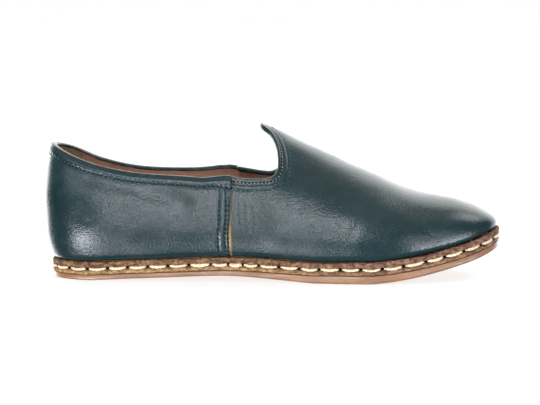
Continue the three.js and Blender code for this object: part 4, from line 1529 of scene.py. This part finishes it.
def insole_stitching():
    """A row of cream stitches round the insole, in its groove."""
    def line(u):
        inset = np.full_like(u, INSOLE_INSET + INSOLE_ROW)
        return sole_point(u, inset, lambda x: welt_foot_z(x) + INSOLE - 0.3)

    length = distances(line(np.linspace(0.0, 4.0, FINE_PLACES)))[-1]
    points = line(equal_places(line, 0.0, 4.0, round(length / INSOLE_PITCH) + 1))
    up = np.broadcast_to([0.0, 0.0, 1.0], points.shape)
    thread_piece("insole_stitches", CREAM_THREAD, row_stitches(points, up, *INSOLE_STITCH))


seam_stitching()
throat_stitching()
band_stitching()
welt_stitching()
insole_stitching()


# Studio

FLOOR_SIZE = 14.0
PAPER_GREYS = ((0.36, 0.36, 0.36), (0.38, 0.38, 0.38))
PAPER_GLOW = 0.76
CAMERA_AZIMUTH = 2.2  # degrees from the medial side, towards the toe
CAMERA_ELEVATION = 6.5
CAMERA_ROLL = -0.4
CAMERA_DISTANCE = 1.1
FRAME_WIDTH = 0.31185  # what the picture's width spans at the shoe
SENSOR = 36.0
AIM = np.array([130.06, 0.0, 41.5])
LIGHT_DISTANCE = 2.5
WHITE = (1.0, 1.0, 1.0)
LILAC = (0.93, 0.94, 1.0)
PALE_GREEN = (0.97, 1.0, 0.97)
ROOM_TINT = (0.98, 1, 0.99)
# Soft boxes: name, azimuth, elevation, span across and up, lean, radiance, tint
SOFT_BOXES = [
    ("low_box", -42, -20, (26, 12), 0, 24.0, LILAC),
    ("vamp_box", -20, -28, (8, 9), 0, 10.0, LILAC),
    ("lower_box", -21, -7, (7, 7), 30, 5.0, LILAC),
    ("middle_box", -11, 6, (7, 11), 0, 16.0, LILAC),
    ("front_box", -8, 21, (6, 10), 0, 26.0, LILAC),
    ("upper_box", -40, 23, (46, 10), 0, 3.6, LILAC),
    ("toe_box", 50, -22, (24, 18), 0, 14.0, LILAC),
    ("right_box", 30, 0, (12, 24), 0, 3.5, LILAC),
    ("rear_box", -135, -8, (24, 50), 0, 3.0, PALE_GREEN),
    ("high_box", 100, 50, (34, 22), 0, 4.0, WHITE),
]
# Light of the room: where it is aimed, the cosines from that aim where it ends and is full, radiance
GLOWS = [
    ((0.0, 1.0, 0.05), 0.42, 0.7, 2.4),
    ((0.0, -0.1, 1.0), 0.3, 0.9, 0.5),
    ((0.0, -1.0, 0.0), -2.0, -1.0, 0.1),
]


def floor():
    """White paper that only the camera sees: it takes the shoe's shadow, and neither lights it from
    below nor hides the soft boxes that stand lower than it."""
    half = FLOOR_SIZE / 2
    mesh = bpy.data.meshes.new("floor")
    corners = [(-half, -half, 0), (half, -half, 0), (half, half, 0), (-half, half, 0)]
    mesh.from_pydata(corners, [], [(0, 1, 2, 3)])
    finish = Finish(
        "floor_paper", Roughness=0.9, Specular_IOR_Level=0.1, Emission_Color=(1, 1, 1, 1),
        Emission_Strength=PAPER_GLOW,
    )
    finish.colour(finish.ramp(finish.noise(400), *zip((0.3, 0.7), PAPER_GREYS)))
    mesh.materials.append(finish.material)
    piece = bpy.data.objects.new("floor", mesh)
    piece.visible_diffuse = False
    piece.visible_glossy = False
    piece.visible_shadow = False
    bpy.context.scene.collection.objects.link(piece)


def direction(azimuth, elevation):
    """The direction from the shoe to an azimuth, in degrees round from the medial side towards the
    toe, and an elevation."""
    az, el = math.radians(azimuth), math.radians(elevation)
    return Vector((math.sin(az) * math.cos(el), -math.cos(az) * math.cos(el), math.sin(el)))


def soft_box(name, azimuth, elevation, span, lean, radiance, tint):
    """A soft box aimed at the shoe. Its span is in degrees as the shoe sees it, and it leans
    clockwise. The power that gives a radiance is that times pi and the area."""
    away = direction(azimuth, elevation)
    data = bpy.data.lights.new(name, "AREA")
    data.shape = "RECTANGLE"
    data.size, data.size_y = (2 * LIGHT_DISTANCE * math.tan(math.radians(angle / 2)) for angle in span)
    data.energy = radiance * math.pi * data.size * data.size_y
    data.color = tint
    light = bpy.data.objects.new(name, data)
    turn = (-away).to_track_quat("-Z", "Y").to_matrix() @ Matrix.Rotation(math.radians(lean), 3, "Z")
    light.matrix_world = Matrix.Translation(away * LIGHT_DISTANCE) @ turn.to_4x4()
    light.visible_camera = False
    bpy.context.scene.collection.objects.link(light)


def room():
    """A bright room behind the shoe, dimmer above it and nearly dark on the camera's side: its
    strength is a sum of smooth steps of the cosine from each glow's aim. The camera sees plain
    white instead of it."""
    world = bpy.data.worlds.new("studio")
    bpy.context.scene.world = world
    world.use_nodes = True
    nodes, links = world.node_tree.nodes, world.node_tree.links
    back = nodes["Background"]
    seen = nodes.new("ShaderNodeBackground")
    seen.inputs["Color"].default_value = (1, 1, 1, 1)
    seen.inputs["Strength"].default_value = 1.0
    towards = nodes.new("ShaderNodeTexCoord").outputs["Generated"]
    total = None
    for aim, dim, full, radiance in GLOWS:
        along = nodes.new("ShaderNodeVectorMath")
        along.operation = "DOT_PRODUCT"
        links.new(towards, along.inputs[0])
        along.inputs[1].default_value = Vector(aim).normalized()
        rise = nodes.new("ShaderNodeMapRange")
        rise.interpolation_type = "SMOOTHSTEP"
        rise.inputs["From Min"].default_value = dim
        rise.inputs["From Max"].default_value = full
        rise.inputs["To Max"].default_value = radiance
        links.new(along.outputs["Value"], rise.inputs["Value"])
        if total is None:
            total = rise.outputs["Result"]
        else:
            both = nodes.new("ShaderNodeMath")
            links.new(total, both.inputs[0])
            links.new(rise.outputs["Result"], both.inputs[1])
            total = both.outputs["Value"]
    links.new(total, back.inputs["Strength"])
    back.inputs["Color"].default_value = (*ROOM_TINT, 1)
    pick = nodes.new("ShaderNodeMixShader")
    path = nodes.new("ShaderNodeLightPath")
    links.new(path.outputs["Is Camera Ray"], pick.inputs["Fac"])
    links.new(back.outputs["Background"], pick.inputs[1])
    links.new(seen.outputs["Background"], pick.inputs[2])
    links.new(pick.outputs["Shader"], nodes["World Output"].inputs["Surface"])


def camera():
    """The camera stands on the medial side, a little towards the toe, and is rolled a little."""
    data = bpy.data.cameras.new("camera")
    data.sensor_width = SENSOR
    data.lens = SENSOR * CAMERA_DISTANCE / FRAME_WIDTH
    back = direction(CAMERA_AZIMUTH, CAMERA_ELEVATION)
    az, roll = math.radians(CAMERA_AZIMUTH), math.radians(CAMERA_ROLL)
    right = Vector((math.cos(az), math.sin(az), 0))
    up = back.cross(right)
    rolled_right = right * math.cos(roll) + up * math.sin(roll)
    rolled_up = up * math.cos(roll) - right * math.sin(roll)
    target = Vector((AIM - ORIGIN) * MM)
    turn = Matrix((rolled_right, rolled_up, back)).transposed().to_4x4()
    piece = bpy.data.objects.new("camera", data)
    piece.matrix_world = Matrix.Translation(target + back * CAMERA_DISTANCE) @ turn
    bpy.context.scene.collection.objects.link(piece)
    bpy.context.scene.camera = piece


floor()
room()
for box in SOFT_BOXES:
    soft_box(*box)
camera()
bpy.context.scene.view_settings.view_transform = "Standard"
